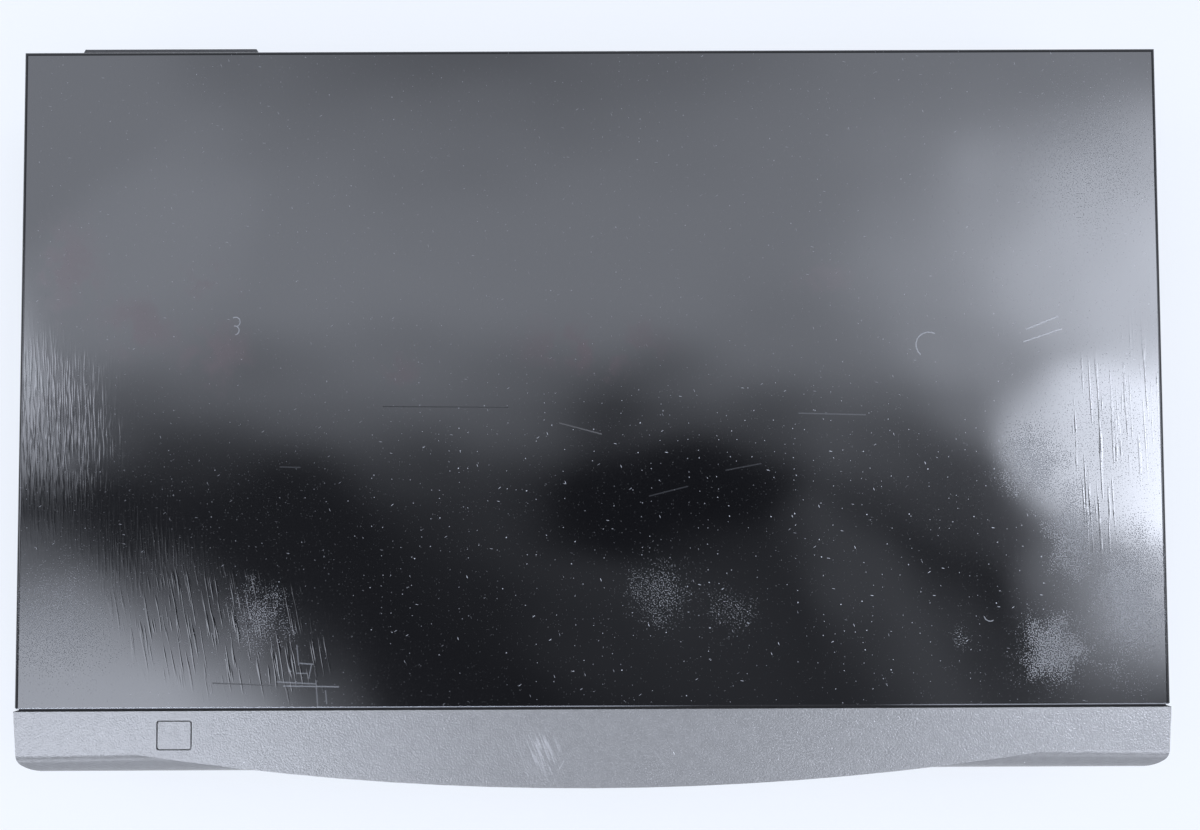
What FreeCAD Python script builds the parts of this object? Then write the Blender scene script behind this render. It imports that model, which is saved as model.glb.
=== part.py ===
import FreeCAD, Part
import math
import os
from FreeCAD import Vector

# Video cassette recorder, in millimetres.
# +X is right as seen from the front, +Y is to the rear and +Z is up.
# The origin lies on the surface that the feet stand on, under the middle of the outline.

os.makedirs("parts", exist_ok=True)

# Housing
side_bay = 71.0
head_room = 11.4
rear_bay = 19.3
cover_sheet = 0.9
cover_bend = 1.3
cover_edge = 0.3
cover_inset = 0.3
cover_skirt_rise = 3.0
cover_lip = 10.5
corner_relief = 1.2
seam_gap = 0.8
foot_height = 8.0
pad_height = 1.8
floor_wall = 2.0
base_wall = 1.8
base_wall_height = 26.0
rear_sheet = 1.0
rear_gap = 0.1
fit = 0.3
connector_reach = 9.5

# Front panel moulding
panel_depth = 19.0
panel_wall = 2.2
panel_step = 0.4
bow_margin = 3.9
bow_proud = 5.3
top_round = 5.6
side_taper = 0.9
corner_start = 5.3
corner_width = 8.6
groove_height = 0.9
groove_depth = 0.6
lip_wall = 1.2
lip_reach = 3.5

# Cassette, a standard size, with the room it has in the mouth and above the deck
cassette_width = 187.4
cassette_height = 25.0
cassette_seat = 6.4
drop_travel = 23.0
cassette_play = 0.8
mouth_side_gap = 1.3
mouth_head_gap = 3.0

# What stands beside the cassette on the deck, from the holder outwards
holder_gap = 0.6
holder_sheet = 1.0
rack_gap = 1.1
rack_thick = 2.0
bracket_gap = 0.8
bracket_sheet = 1.2
bracket_flange = 7.6
deck_edge = 1.0

# Deck and what sets its length
deck_stand = 17.0
deck_sheet = 1.2
deck_flange = 5.0
deck_front_set = 10.5
holder_set = 7.0
holder_length = 39.0
drum_set = 142.6
drum_radius = 31.0
drum_base_radius = 33.0
drum_clear = 0.6
deck_end = 2.4
board_stand = 4.0
board_thick = 1.6

# Running fits and gear teeth
running = 0.06
key_gap = 0.3
key_travel = 0.6
key_proud = 0.8
pressure = math.radians(20)
backlash = 0.2
addendum = 0.75
dedendum = 1.0

# Widths, out from the middle: cassette, holder, racks, brackets, deck, then the housing
mouth_half = cassette_width / 2 + mouth_side_gap
holder_half = cassette_width / 2 + holder_gap
rack_inner = holder_half + holder_sheet + rack_gap
bracket_inner = rack_inner + rack_thick + bracket_gap
deck_half = bracket_inner + bracket_sheet + bracket_flange + deck_edge
panel_width = 2 * (deck_half + side_bay)
cover_half = panel_width / 2 - cover_inset
cover_inner = cover_half - cover_sheet
base_half = cover_inner - fit
bow_half = mouth_half + bow_margin
bow_radius = (bow_half ** 2 + bow_proud ** 2) / (2 * bow_proud)

# Heights, up from the feet: floor, boards, deck, cassette, then the top
floor_top = foot_height + floor_wall
board_top = floor_top + board_stand + board_thick
deck_under = floor_top + deck_stand
deck_top = deck_under + deck_sheet
cassette_low = deck_top + cassette_seat + drop_travel
cassette_top = cassette_low + cassette_height
overall_height = cassette_top + head_room
cover_under = overall_height - cover_sheet
cover_skirt_low = foot_height + cover_skirt_rise
panel_top = overall_height - panel_step

# Depths: the drum sets the deck, the deck sets the cover
deck_length = drum_set + drum_base_radius + deck_end
cover_depth = deck_front_set - seam_gap + deck_length + rear_bay
overall_depth = key_proud + bow_proud + panel_depth + seam_gap + cover_depth + connector_reach
y_tip = key_proud - overall_depth / 2
y_front = y_tip + bow_proud
y_panel_back = y_front + panel_depth
y_cover = y_panel_back + seam_gap
y_rear = y_cover + cover_depth
y_connector = y_rear + connector_reach
rear_face = y_rear - cover_sheet - rear_gap
rear_inner = rear_face - rear_sheet
deck_front = y_panel_back + deck_front_set
deck_rear = deck_front + deck_length
drum_y = deck_front + drum_set
holder_front = deck_front + holder_set
holder_back = holder_front + holder_length

# The cassette goes in until its leading edge stands just before the drum
in_travel = drum_y - drum_radius - drum_clear - holder_back


# Basic shapes

def block(x0, x1, y0, y1, z0, z1):
    return Part.makeBox(x1 - x0, y1 - y0, z1 - z0, Vector(x0, y0, z0))


def rod(radius, x, y, z0, z1):
    return Part.makeCylinder(radius, z1 - z0, Vector(x, y, z0))


def rod_x(radius, x0, x1, y, z):
    return Part.makeCylinder(radius, x1 - x0, Vector(x0, y, z), Vector(1, 0, 0))


def rod_y(radius, x, y0, y1, z):
    return Part.makeCylinder(radius, y1 - y0, Vector(x, y0, z), Vector(0, 1, 0))


def sleeve(outer, inner, x, y, z0, z1):
    return rod(outer, x, y, z0, z1).cut(rod(inner, x, y, z0 - 1, z1 + 1))


def fuse(first, *others):
    return first.multiFuse(list(others)).removeSplitter()


def cut(body, *tools):
    return body.cut(list(tools))


def mirrored(shape):
    return shape.mirror(Vector(0, 0, 0), Vector(1, 0, 0))


def turned(shape, degrees, x, y):
    copy = shape.copy()
    copy.rotate(Vector(x, y, 0), Vector(0, 0, 1), degrees)
    return copy


def plate(points, lift):
    """A flat outline of straight sides, drawn out along lift."""
    loop = [Vector(*p) for p in points]
    return Part.Face(Part.makePolygon(loop + loop[:1])).extrude(lift)


def rounded_face(width, height, corner):
    """A rounded rectangle about the origin in the XY plane, as a face."""
    a = width / 2
    b = height / 2
    k = corner * (1 - math.sqrt(0.5))
    edges = []
    for sx, sy in ((1, 1), (-1, 1), (-1, -1), (1, -1)):
        first = Vector(sx * a, sy * (b - corner), 0)
        last = Vector(sx * (a - corner), sy * b, 0)
        if sx * sy < 0:
            first, last = last, first
        edges.append(Part.Arc(first, Vector(sx * (a - k), sy * (b - k), 0), last).toShape())
    sides = []
    for i in range(4):
        end = edges[i].lastVertex().Point
        start = edges[(i + 1) % 4].firstVertex().Point
        sides.append(edges[i])
        if end.distanceToPoint(start) > 1e-6:
            sides.append(Part.LineSegment(end, start).toShape())
    return Part.Face(Part.Wire(sides))


def rounded_up(x, y, width, depth, corner, z0, z1):
    """A rounded rectangle drawn up along Z."""
    shape = rounded_face(width, depth, corner).extrude(Vector(0, 0, z1 - z0))
    shape.translate(Vector(x, y, z0))
    return shape


def rounded_back(x, z, width, height, corner, y0, y1):
    """A rounded rectangle in the front view, drawn back along Y."""
    shape = rounded_face(width, height, corner).extrude(Vector(0, 0, y1 - y0))
    shape.rotate(Vector(0, 0, 0), Vector(1, 0, 0), 90)
    shape.translate(Vector(x, y1, z))
    return shape


def save(node, *solids):
    shape = solids[0] if len(solids) == 1 else Part.makeCompound(list(solids))
    shape.exportStep("parts/" + node + ".step")


# The bowed front surface

def bow_y(x, inset=0.0):
    return y_tip + bow_radius - math.sqrt((bow_radius - inset) ** 2 - x * x)


def bow_reach(inset=0.0):
    """Half the width over which the crease shows on the panel's top."""
    return math.sqrt((bow_radius - inset) ** 2 - (bow_radius - bow_proud - top_round) ** 2)


def bow_arc(x0, x1, inset):
    middle = (x0 + x1) / 2
    ends = [Vector(x, bow_y(x, inset), 0) for x in (x0, middle, x1)]
    return Part.Arc(*ends).toShape()


def bow_slab(x0, x1, z0, z1, front, back):
    """The space between two arcs of the bow, front and back in from its surface."""
    outer = bow_arc(x0, x1, front)
    inner = bow_arc(x0, x1, back)
    sides = []
    for x in (x0, x1):
        sides.append(Part.makeLine(Vector(x, bow_y(x, front), 0), Vector(x, bow_y(x, back), 0)))
    face = Part.Face(Part.Wire(Part.__sortEdges__([outer, sides[1], inner, sides[0]])))
    slab = face.extrude(Vector(0, 0, z1 - z0))
    slab.translate(Vector(0, 0, z0))
    return slab


def front_slab(x0, x1, z0, z1, front, back):
    """The same behind whichever front surface lies at this place, bowed or flat."""
    if abs(x0 + x1) / 2 < bow_half:
        return bow_slab(x0, x1, z0, z1, front, back)
    return block(x0, x1, y_front + front, y_front + back, z0, z1)


# Top cover: one bent sheet with a turned-down rear lip and relieved rear corners

vent_count = 9
vent_pitch = 7.0
vent_width = 2.2
vent_height = 18.0
vent_top_set = 26.0
vent_rear_set = 14.0
screw_radius = 1.5
screw_head_radius = 3.2
screw_head_height = 1.6
screw_length = 6.0
screw_height = 21.0
side_screw_front = 18.0
side_screw_rear = 29.0
side_screw_sets = (side_screw_front, cover_depth - side_screw_rear)
rear_screw_places = (0.0,)
rear_screw_drop = 7.2
rear_head_height = 1.0


def side_screws():
    return [(side, y_cover + at) for side in (-1, 1) for at in side_screw_sets]


def make_top_cover():
    body = block(-cover_half, cover_half, y_cover, y_rear, cover_skirt_low, overall_height)
    bends = []
    for edge in body.Edges:
        box = edge.BoundBox
        if box.ZMin > overall_height - 0.01 and box.YMax > y_rear - 0.01:
            bends.append(edge)
    body = body.makeFillet(cover_bend, bends)
    rims = []
    for edge in body.Edges:
        box = edge.BoundBox
        if box.YMax < y_cover + 0.01 and box.ZMax > cover_skirt_low + 0.01:
            rims.append(edge)
    body = body.makeChamfer(cover_edge, rims)
    inside = block(-cover_inner, cover_inner, y_cover - 1, y_rear - cover_sheet, 0, cover_under)
    open_rear = block(-cover_inner, cover_inner, y_rear - cover_sheet - 1, y_rear + 1, 0,
                      overall_height - cover_lip)
    tools = [inside, open_rear]
    for side in (-1, 1):
        x = side * (cover_inner - corner_relief / 2)
        relief = block(x - corner_relief / 2, x + corner_relief / 2, y_rear - cover_sheet - 0.01,
                       y_rear + 1, 0, cover_under - cover_bend)
        tools.append(relief)
        for i in range(vent_count):
            y = y_rear - vent_rear_set - i * vent_pitch
            z = overall_height - vent_top_set
            tools.append(block(min(side * (cover_inner - 1), side * (cover_half + 1)),
                               max(side * (cover_inner - 1), side * (cover_half + 1)),
                               y - vent_width, y, z - vent_height, z))
    for side, y in side_screws():
        tools.append(rod_x(screw_radius + 0.1, -cover_half - 1, cover_half + 1, y, screw_height))
    for x in rear_screw_places:
        tools.append(rod_y(screw_radius + 0.1, x, y_rear - cover_sheet - 0.5, y_rear + 1,
                           overall_height - rear_screw_drop))
    return cut(body, *tools)


def make_cover_screws():
    screws = []
    for side, y in side_screws():
        head = rod_x(screw_head_radius, 0, screw_head_height, y, screw_height)
        shank = rod_x(screw_radius, -screw_length, 0, y, screw_height)
        screw = fuse(head, shank)
        screw.translate(Vector(cover_half, 0, 0))
        screws.append(screw if side > 0 else mirrored(screw))
    for x in rear_screw_places:
        z = overall_height - rear_screw_drop
        head = rod_y(screw_head_radius, x, y_rear, y_rear + rear_head_height, z)
        shank = rod_y(screw_radius, x, y_rear - screw_length, y_rear, z)
        screws.append(fuse(head, shank))
    return screws


# Front panel: plan outline, bowed middle, rounded-off top edge beside the bow

mouth_low = cassette_low - cassette_play
mouth_top = cassette_top + mouth_head_gap
mouth_lip = 0.6
door_swing_drop = 1.7
groove_drop = 4.6
groove_z = mouth_low - groove_drop
chute_wall = 1.4

door_thick = 2.0
door_gap = 0.35
door_pin_radius = 1.2
door_axis_back = 4.3
door_axis_rise = 1.4
door_axis_z = mouth_top + door_axis_rise
door_axis_y = y_front + door_axis_back
ear_thick = 2.0
ear_radius = 2.1
boss_thick = 3.0
boss_clear = 0.6
boss_radius = 3.0

window_half = 58.0
window_rise = 24.0
window_drop = 2.2
window_low = foot_height + window_rise
window_high = groove_z - window_drop
window_thick = 1.6
window_rest = 2.0
window_sink = 0.3

lens_out = 51.0
lens_rise = 32.0
lens_x = -mouth_half - lens_out
lens_z = foot_height + lens_rise
lens_width = 20.0
lens_height = 11.0

flap_out = 9.0
flap_end = 14.0
flap_rise = 5.6
flap_height = 23.4
flap_left = mouth_half + flap_out
flap_right = panel_width / 2 - flap_end
flap_low = foot_height + flap_rise
flap_high = flap_low + flap_height
flap_thick = 1.8
flap_barrel = 1.3
flap_pin_radius = 0.9
flap_gap = 0.3
recess_depth = 9.3
front_barrel_reach = 7.4
recess_wall = 1.6
flap_axis_y = y_front + flap_barrel
flap_axis_z = flap_low + flap_gap + flap_barrel
jack_pitch = 18.0
jack_rise = 17.5
jack_xs = [(flap_left + flap_right) / 2 + i * jack_pitch for i in (-1, 0, 1)]
jack_z = foot_height + jack_rise
barrel_radius = 4.15
barrel_bore = 3.5
barrel_hole = 4.6
jack_hole = 1.7

top_key_out = 35.0
top_key_x = -mouth_half - top_key_out
top_key_back = 7.5
top_key_width = 11.0
top_key_depth = 9.2
top_key_corner = 0.8
top_key_gap = 0.4
top_key_travel = 0.8
top_shelf_drop = 15.6
top_shelf_z = panel_top - top_shelf_drop
shelf_wall = 1.8

front_board_set = 3.5
board_y = y_panel_back + front_board_set
front_board_thick = 1.6
front_board_end = 15.0
front_board_half = panel_width / 2 - front_board_end
front_board_drop = 13.6
front_board_notch = 5.0
switch_size = 6.0
switch_body = 3.6
switch_plunger = 1.4

power_key_out = 51.0
power_key_width = 26.0
eject_key_out = 27.0
eject_key_width = 22.0
upper_key_rise = 9.2
upper_key_height = 9.0
channel_key_out = 61.0
channel_key_rise = 4.2
channel_key_pitch = 10.0
channel_key_width = 16.0
channel_key_height = 7.5
transport_pitch = 29.0
transport_rise = 12.5
transport_width = 24.0
transport_height = 8.0
transport_names = ("rewind_key", "stop_key", "play_key", "fast_forward_key", "record_key")

upper_key_z = mouth_low + upper_key_rise
channel_key_z = mouth_low + channel_key_rise
key_list = [
    ("power_key", -mouth_half - power_key_out, upper_key_z, power_key_width, upper_key_height),
    ("eject_key", mouth_half + eject_key_out, upper_key_z, eject_key_width, upper_key_height),
    ("channel_up_key", mouth_half + channel_key_out, channel_key_z + channel_key_pitch,
     channel_key_width, channel_key_height),
    ("channel_down_key", mouth_half + channel_key_out, channel_key_z, channel_key_width,
     channel_key_height),
]
for place, name in enumerate(transport_names, -2):
    key_list.append((name, place * transport_pitch, foot_height + transport_rise,
                     transport_width, transport_height))
key_corner = 1.6
key_flange = 1.2
key_flange_width = 1.0
stem_width = 4.0


def panel_plan(inset, back):
    half = panel_width / 2 - inset
    tapered = half - side_taper
    front = y_front + inset
    side_end = Vector(tapered, y_front + corner_start, 0)
    knee = Vector(tapered - 1.5, y_front + 2.4 + 0.6 * inset, 0)
    knee_middle = Vector(tapered - 0.45, y_front + 3.7 + 0.35 * inset, 0)
    front_end = Vector(panel_width / 2 - corner_width, front, 0)
    front_middle = Vector((knee.x + front_end.x) / 2 + 0.4, (knee.y + front) / 2 - 0.35, 0)
    right = [
        Part.makeLine(Vector(half, back, 0), side_end),
        Part.Arc(side_end, knee_middle, knee).toShape(),
        Part.Arc(knee, front_middle, front_end).toShape(),
    ]
    left = [mirrored(edge) for edge in right]
    across = [
        Part.makeLine(front_end, Vector(-front_end.x, front, 0)),
        Part.makeLine(Vector(-half, back, 0), Vector(half, back, 0)),
    ]
    return Part.Face(Part.Wire(Part.__sortEdges__(right + left + across)))


def panel_band(inset, z0, z1, back):
    """The panel's outline with its bow, straight up from z0 to z1."""
    sides = panel_plan(inset, back).extrude(Vector(0, 0, z1 - z0))
    sides.translate(Vector(0, 0, z0))
    reach = bow_half
    ends = [Vector(-reach, back, 0), Vector(reach, back, 0)]
    front = [Vector(-reach, bow_y(reach, inset), 0), Vector(reach, bow_y(reach, inset), 0)]
    edges = [
        bow_arc(-reach, reach, inset),
        Part.makeLine(front[1], ends[1]),
        Part.makeLine(ends[1], ends[0]),
        Part.makeLine(ends[0], front[0]),
    ]
    bow = Part.Face(Part.Wire(Part.__sortEdges__(edges))).extrude(Vector(0, 0, z1 - z0))
    bow.translate(Vector(0, 0, z0))
    return sides, bow


def panel_form(inset, z0, z1, back):
    """The same with the side zones' upper front edge rounded off and the bow's top left crisp."""
    sides = panel_plan(inset, back).extrude(Vector(0, 0, z1 - z0))
    sides.translate(Vector(0, 0, z0))
    round_y = y_front + top_round
    round_z = panel_top - top_round
    far = panel_width / 2 + 1
    edge = block(-far, far, y_front - 1, round_y, round_z, panel_top + 1)
    edge = edge.cut(rod_x(top_round - inset, -far - 1, far + 1, round_y, round_z))
    sides = sides.cut(edge)
    reach = bow_reach(inset)
    front = y_front + top_round
    edges = [
        bow_arc(-reach, reach, inset),
        Part.makeLine(Vector(reach, front, 0), Vector(reach, back, 0)),
        Part.makeLine(Vector(reach, back, 0), Vector(-reach, back, 0)),
        Part.makeLine(Vector(-reach, back, 0), Vector(-reach, front, 0)),
    ]
    bow = Part.Face(Part.Wire(Part.__sortEdges__(edges))).extrude(Vector(0, 0, z1 - z0))
    bow.translate(Vector(0, 0, z0))
    return fuse(sides, bow)


def make_front_panel():
    outer = panel_form(0.0, foot_height, panel_top, y_panel_back)
    inner = panel_form(panel_wall, foot_height + panel_wall, panel_top - panel_wall,
                       y_panel_back + 1)
    shell = outer.cut(inner)

    lip_top = cover_under - fit
    lip_side = cover_inner - fit
    lip_from = y_panel_back - 1.5
    lip_to = y_panel_back + lip_reach
    lip_low = floor_top + base_wall_height + 2
    lip = block(-lip_side, lip_side, lip_from, lip_to, lip_low, lip_top)
    lip = lip.cut(block(-lip_side + lip_wall, lip_side - lip_wall, lip_from - 1, lip_to + 1,
                        lip_low - 1, lip_top - lip_wall))
    bottom_lip = block(-lip_side + 12, lip_side - 12, y_panel_back - 1.5, y_cover + 1.5,
                       floor_top, floor_top + lip_wall)

    # Chute that leads the cassette from the mouth to the holder, sunk to let the door swing
    sill_top = mouth_low - door_swing_drop
    sill = block(-mouth_half - chute_wall, mouth_half + chute_wall, y_front - 1.0, y_panel_back,
                 sill_top - chute_wall, sill_top)
    cheeks = []
    for side in (-1, 1):
        x = side * (mouth_half + chute_wall / 2)
        cheeks.append(block(x - chute_wall / 2, x + chute_wall / 2, y_front + panel_wall - 0.5,
                            y_panel_back, sill_top - chute_wall, mouth_top - 4.5))

    # Bosses that hold the door's pins
    bosses = []
    for side in (-1, 1):
        x = side * (mouth_half + boss_clear + boss_thick / 2)
        boss = block(x - boss_thick / 2, x + boss_thick / 2, y_front + panel_wall - 0.3,
                     door_axis_y + boss_radius, door_axis_z - boss_radius,
                     panel_top - panel_wall + 0.3)
        bosses.append(boss)

    # Recess behind the jack flap
    recess_front = y_front + panel_wall - 0.2
    recess_back = y_front + panel_wall + recess_depth
    recess_out = block(flap_left - recess_wall, flap_right + recess_wall, recess_front,
                       recess_back + recess_wall, flap_low - recess_wall, flap_high + recess_wall)
    recess_in = block(flap_left, flap_right, y_front - 1, recess_back, flap_low, flap_high)

    # Shelf for the switch under the top key
    shelf_y = y_panel_back - top_key_back
    shelf = block(top_key_x - 8, top_key_x + 8, y_front + panel_wall - 0.3, y_panel_back - 1,
                  top_shelf_z - shelf_wall, top_shelf_z)
    gussets = []
    for side in (-1, 1):
        x = top_key_x + side * 7.1
        gussets.append(block(x - 0.9, x + 0.9, y_front + panel_wall - 0.3, y_front + panel_wall + 6,
                             top_shelf_z - 0.5, panel_top - panel_wall + 0.3))

    panel = fuse(shell, lip, bottom_lip, sill, recess_out, shelf, *cheeks, *bosses, *gussets)

    tools = [recess_in]
    tools.append(block(-mouth_half, mouth_half, y_tip - 1, y_front + panel_wall + 0.5,
                       mouth_low, mouth_top))
    tools.append(bow_slab(-mouth_half, mouth_half, sill_top, mouth_low + 0.1, mouth_lip,
                          panel_wall + 4))
    tools.append(rod_x(door_pin_radius + running, -mouth_half - boss_thick - 1.0,
                       mouth_half + boss_thick + 1.0, door_axis_y, door_axis_z))
    tools.append(rod_x(flap_pin_radius + running, flap_left - recess_wall - 0.2,
                       flap_right + recess_wall + 0.2, flap_axis_y, flap_axis_z))
    for x in jack_xs:
        tools.append(rod_y(barrel_hole, x, recess_back - 1, recess_back + recess_wall + 1, jack_z))
    tools.append(bow_slab(-window_half, window_half, window_low, window_high, -1,
                          window_thick + window_sink))
    tools.append(bow_slab(-window_half + window_rest, window_half - window_rest,
                          window_low + window_rest, window_high - window_rest, 0, panel_wall + 1))
    tools.append(block(lens_x - lens_width / 2, lens_x + lens_width / 2, y_front - 1,
                       y_front + window_thick + window_sink, lens_z - lens_height / 2,
                       lens_z + lens_height / 2))
    tools.append(block(lens_x - lens_width / 2 + window_rest, lens_x + lens_width / 2 - window_rest,
                       y_front - 1, y_front + panel_wall + 1,
                       lens_z - lens_height / 2 + window_rest,
                       lens_z + lens_height / 2 - window_rest))
    for name, x, z, width, height in key_list:
        tools.append(rounded_back(x, z, width, height, key_corner, y_tip - 1,
                                  y_front + panel_wall + 1))
    tools.append(rounded_up(top_key_x, shelf_y, top_key_width, top_key_depth, top_key_corner,
                            panel_top - panel_wall - 1, panel_top + 1))
    panel = cut(panel, *tools)

    # Shadow groove round the front and sides, under the mouth
    groove_top = groove_z + groove_height
    outer_ring = fuse(*panel_band(-2, groove_z, groove_top, y_panel_back - 3))
    inner_ring = panel_band(groove_depth, groove_z - 1, groove_top + 1, y_panel_back - 2)
    return panel.cut(outer_ring.cut(list(inner_ring)))


def make_front_keys():
    wall_gap = 0.15
    for name, x, z, width, height in key_list:
        w = width - 2 * key_gap
        h = height - 2 * key_gap
        x0 = x - w / 2
        x1 = x + w / 2
        blank = rounded_back(x, z, w, h, key_corner - key_gap, y_tip - 3, y_front + 12)
        cap = blank.common(front_slab(x0 - 1, x1 + 1, z - h, z + h, -key_proud,
                                      panel_wall + wall_gap + key_flange))
        flange = front_slab(x0 - key_flange_width, x1 + key_flange_width,
                            z - h / 2 - key_flange_width, z + h / 2 + key_flange_width,
                            panel_wall + wall_gap, panel_wall + wall_gap + key_flange)
        stem_end = board_y - switch_body - switch_plunger - key_travel - 0.1
        stem_start = y_front + panel_wall - 1
        if abs(x) < bow_half:
            stem_start = bow_y(x, panel_wall + key_flange - 0.5)
        stem = block(x - stem_width / 2, x + stem_width / 2, stem_start, stem_end,
                     z - stem_width / 2, z + stem_width / 2)
        save(name, fuse(cap, flange, stem))


def make_top_key():
    y = y_panel_back - top_key_back
    cap = rounded_up(top_key_x, y, top_key_width - 2 * top_key_gap, top_key_depth - 2 * top_key_gap,
                     top_key_corner - top_key_gap / 2, panel_top - panel_wall - 1.5, panel_top - 0.1)
    flange_top = panel_top - panel_wall - 0.15
    flange = block(top_key_x - top_key_width / 2 - 0.4, top_key_x + top_key_width / 2 + 0.4,
                   y - top_key_depth / 2 - 0.4, y + top_key_depth / 2 + 0.4,
                   flange_top - key_flange, flange_top)
    stem_end = top_shelf_z + switch_body + switch_plunger + top_key_travel + 0.1
    stem = block(top_key_x - stem_width / 2, top_key_x + stem_width / 2, y - stem_width / 2,
                 y + stem_width / 2, stem_end, flange_top)
    return fuse(cap, flange, stem)


def make_key_switches():
    switches = []
    for name, x, z, width, height in key_list:
        half = switch_size / 2
        body = block(x - half, x + half, board_y - switch_body, board_y, z - half, z + half)
        tip = block(x - half / 2, x + half / 2, board_y - switch_body - switch_plunger,
                    board_y - switch_body, z - half / 2, z + half / 2)
        switches.append(fuse(body, tip))
    y = y_panel_back - top_key_back
    half = switch_size / 2
    body = block(top_key_x - half, top_key_x + half, y - half, y + half, top_shelf_z,
                 top_shelf_z + switch_body)
    tip = block(top_key_x - half / 2, top_key_x + half / 2, y - half / 2, y + half / 2,
                top_shelf_z + switch_body, top_shelf_z + switch_body + switch_plunger)
    switches.append(fuse(body, tip))
    return switches


def make_front_board():
    low = block(-front_board_half, front_board_half, board_y, board_y + front_board_thick,
                floor_top, window_high + 2)
    high = block(-front_board_half, front_board_half, board_y, board_y + front_board_thick,
                 window_high, panel_top - front_board_drop)
    notch = mouth_half + front_board_notch
    middle = block(-notch, notch, board_y - 1, board_y + front_board_thick + 1,
                   window_high + 2, panel_top)
    return fuse(low, high).cut(middle)


def make_display_window():
    return bow_slab(-window_half + 0.15, window_half - 0.15, window_low + 0.15,
                    window_high - 0.15, window_sink, window_thick + window_sink)


def make_lens():
    gap = 0.15
    half = lens_width / 2 - gap
    rise = lens_height / 2 - gap
    return block(lens_x - half, lens_x + half, y_front + window_sink,
                 y_front + window_sink + window_thick, lens_z - rise, lens_z + rise)


tube_end = 8.0
tube_margin = 2.5
tube_set = 1.0
tube_thick = 6.5
tube_half = window_half - tube_end
tube_low = window_low + tube_margin
tube_high = window_high - tube_margin
tube_front = y_front + tube_set


def make_display_tube():
    return block(-tube_half, tube_half, tube_front, tube_front + tube_thick, tube_low, tube_high)


def make_display_holder():
    back = block(-tube_half - 3, tube_half + 3, tube_front + tube_thick,
                 tube_front + tube_thick + 1.5, tube_low - 1.2, tube_high + 1.2)
    posts = []
    for side in (-1, 1):
        x = side * (tube_half - 2)
        posts.append(block(x - 3, x + 3, tube_front + tube_thick + 1, board_y,
                           tube_low, tube_high))
        edge = side * (tube_half + 2)
        posts.append(block(edge - 1, edge + 1, tube_front + 1.5, tube_front + tube_thick + 0.5,
                           tube_low, tube_high))
    holder = fuse(back, *posts)
    return holder.cut(block(-tube_half, tube_half, tube_front - 1, tube_front + tube_thick,
                            tube_low - 2, tube_high + 2))


def make_receiver():
    body = block(lens_x - 4, lens_x + 4, board_y - 5.5, board_y, lens_z - 5, lens_z + 4)
    return body.fuse(rod_y(2.6, lens_x, board_y - 7.5, board_y - 5, lens_z))


def jack(x, z, y_base, y_tip_end):
    """A round metal jack sleeve from its base to its open end, either way along Y."""
    low = min(y_base, y_tip_end)
    high = max(y_base, y_tip_end)
    barrel = rod_y(barrel_radius, x, low, high, z)
    return barrel.cut(rod_y(barrel_bore, x, low - 1, high + 1, z))


def make_front_jacks():
    base = y_front + panel_wall + recess_depth + recess_wall
    barrels = []
    inserts = []
    for x in jack_xs:
        seat = base - recess_wall
        barrels.append(jack(x, jack_z, seat, seat - front_barrel_reach))
        body = block(x - 5.5, x + 5.5, base, board_y, jack_z - 6, jack_z + 6)
        collar = rod_y(barrel_hole - 0.1, x, seat, base + 0.5, jack_z)
        plug = rod_y(barrel_bore - 0.05, x, seat - front_barrel_reach + 2, seat + 0.5, jack_z)
        plug = plug.cut(rod_y(jack_hole, x, seat - front_barrel_reach, seat, jack_z))
        inserts.append(fuse(body, collar, plug))
    return barrels, inserts


# Cassette door, curved like the bow, turning inwards about two pins behind the mouth's top edge

def make_cassette_door():
    half = mouth_half - door_gap
    leaf = bow_slab(-half, half, mouth_low + door_gap, mouth_top - door_gap, 0, door_thick)
    web_low = mouth_top - 12
    web_top = mouth_top - door_gap - 0.4
    web_front = bow_y(half, door_thick) - 0.4
    ears = []
    for side in (-1, 1):
        x0 = side * (half - ear_thick / 2) - ear_thick / 2
        x1 = x0 + ear_thick
        ring = rod_x(ear_radius, x0, x1, door_axis_y, door_axis_z)
        web = plate([(x0, door_axis_y - ear_radius, door_axis_z),
                     (x0, door_axis_y + ear_radius, door_axis_z),
                     (x0, door_axis_y + ear_radius - 1.6, web_low),
                     (x0, web_front, web_low),
                     (x0, web_front, web_top),
                     (x0, door_axis_y - ear_radius, web_top)],
                    Vector(ear_thick, 0, 0))
        ears.extend([ring, web])
    left_end = -mouth_half - boss_thick - boss_clear - 0.4
    pin_left = rod_x(door_pin_radius, left_end, -half + 1, door_axis_y, door_axis_z)
    pin_right = rod_x(door_pin_radius, half - 1, spring_start + spring_length + 0.6, door_axis_y,
                      door_axis_z)
    return fuse(leaf, pin_left, pin_right, *ears)


spring_start = mouth_half + boss_clear + boss_thick + 0.2
spring_length = 6.0
spring_inner = door_pin_radius + 0.1
spring_wire = 0.7


def make_door_spring():
    """Closed-wound return spring round the door's right-hand pin, one end up against the panel."""
    coil = rod_x(spring_inner + spring_wire, spring_start, spring_start + spring_length,
                 door_axis_y, door_axis_z)
    leg_x = spring_start + spring_length - spring_wire
    leg = block(leg_x, leg_x + spring_wire, door_axis_y + spring_inner,
                door_axis_y + spring_inner + spring_wire, door_axis_z, panel_top - panel_wall)
    bore = rod_x(spring_inner, spring_start - 1, spring_start + spring_length + 1, door_axis_y,
                 door_axis_z)
    return fuse(coil, leg).cut(bore)


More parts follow.
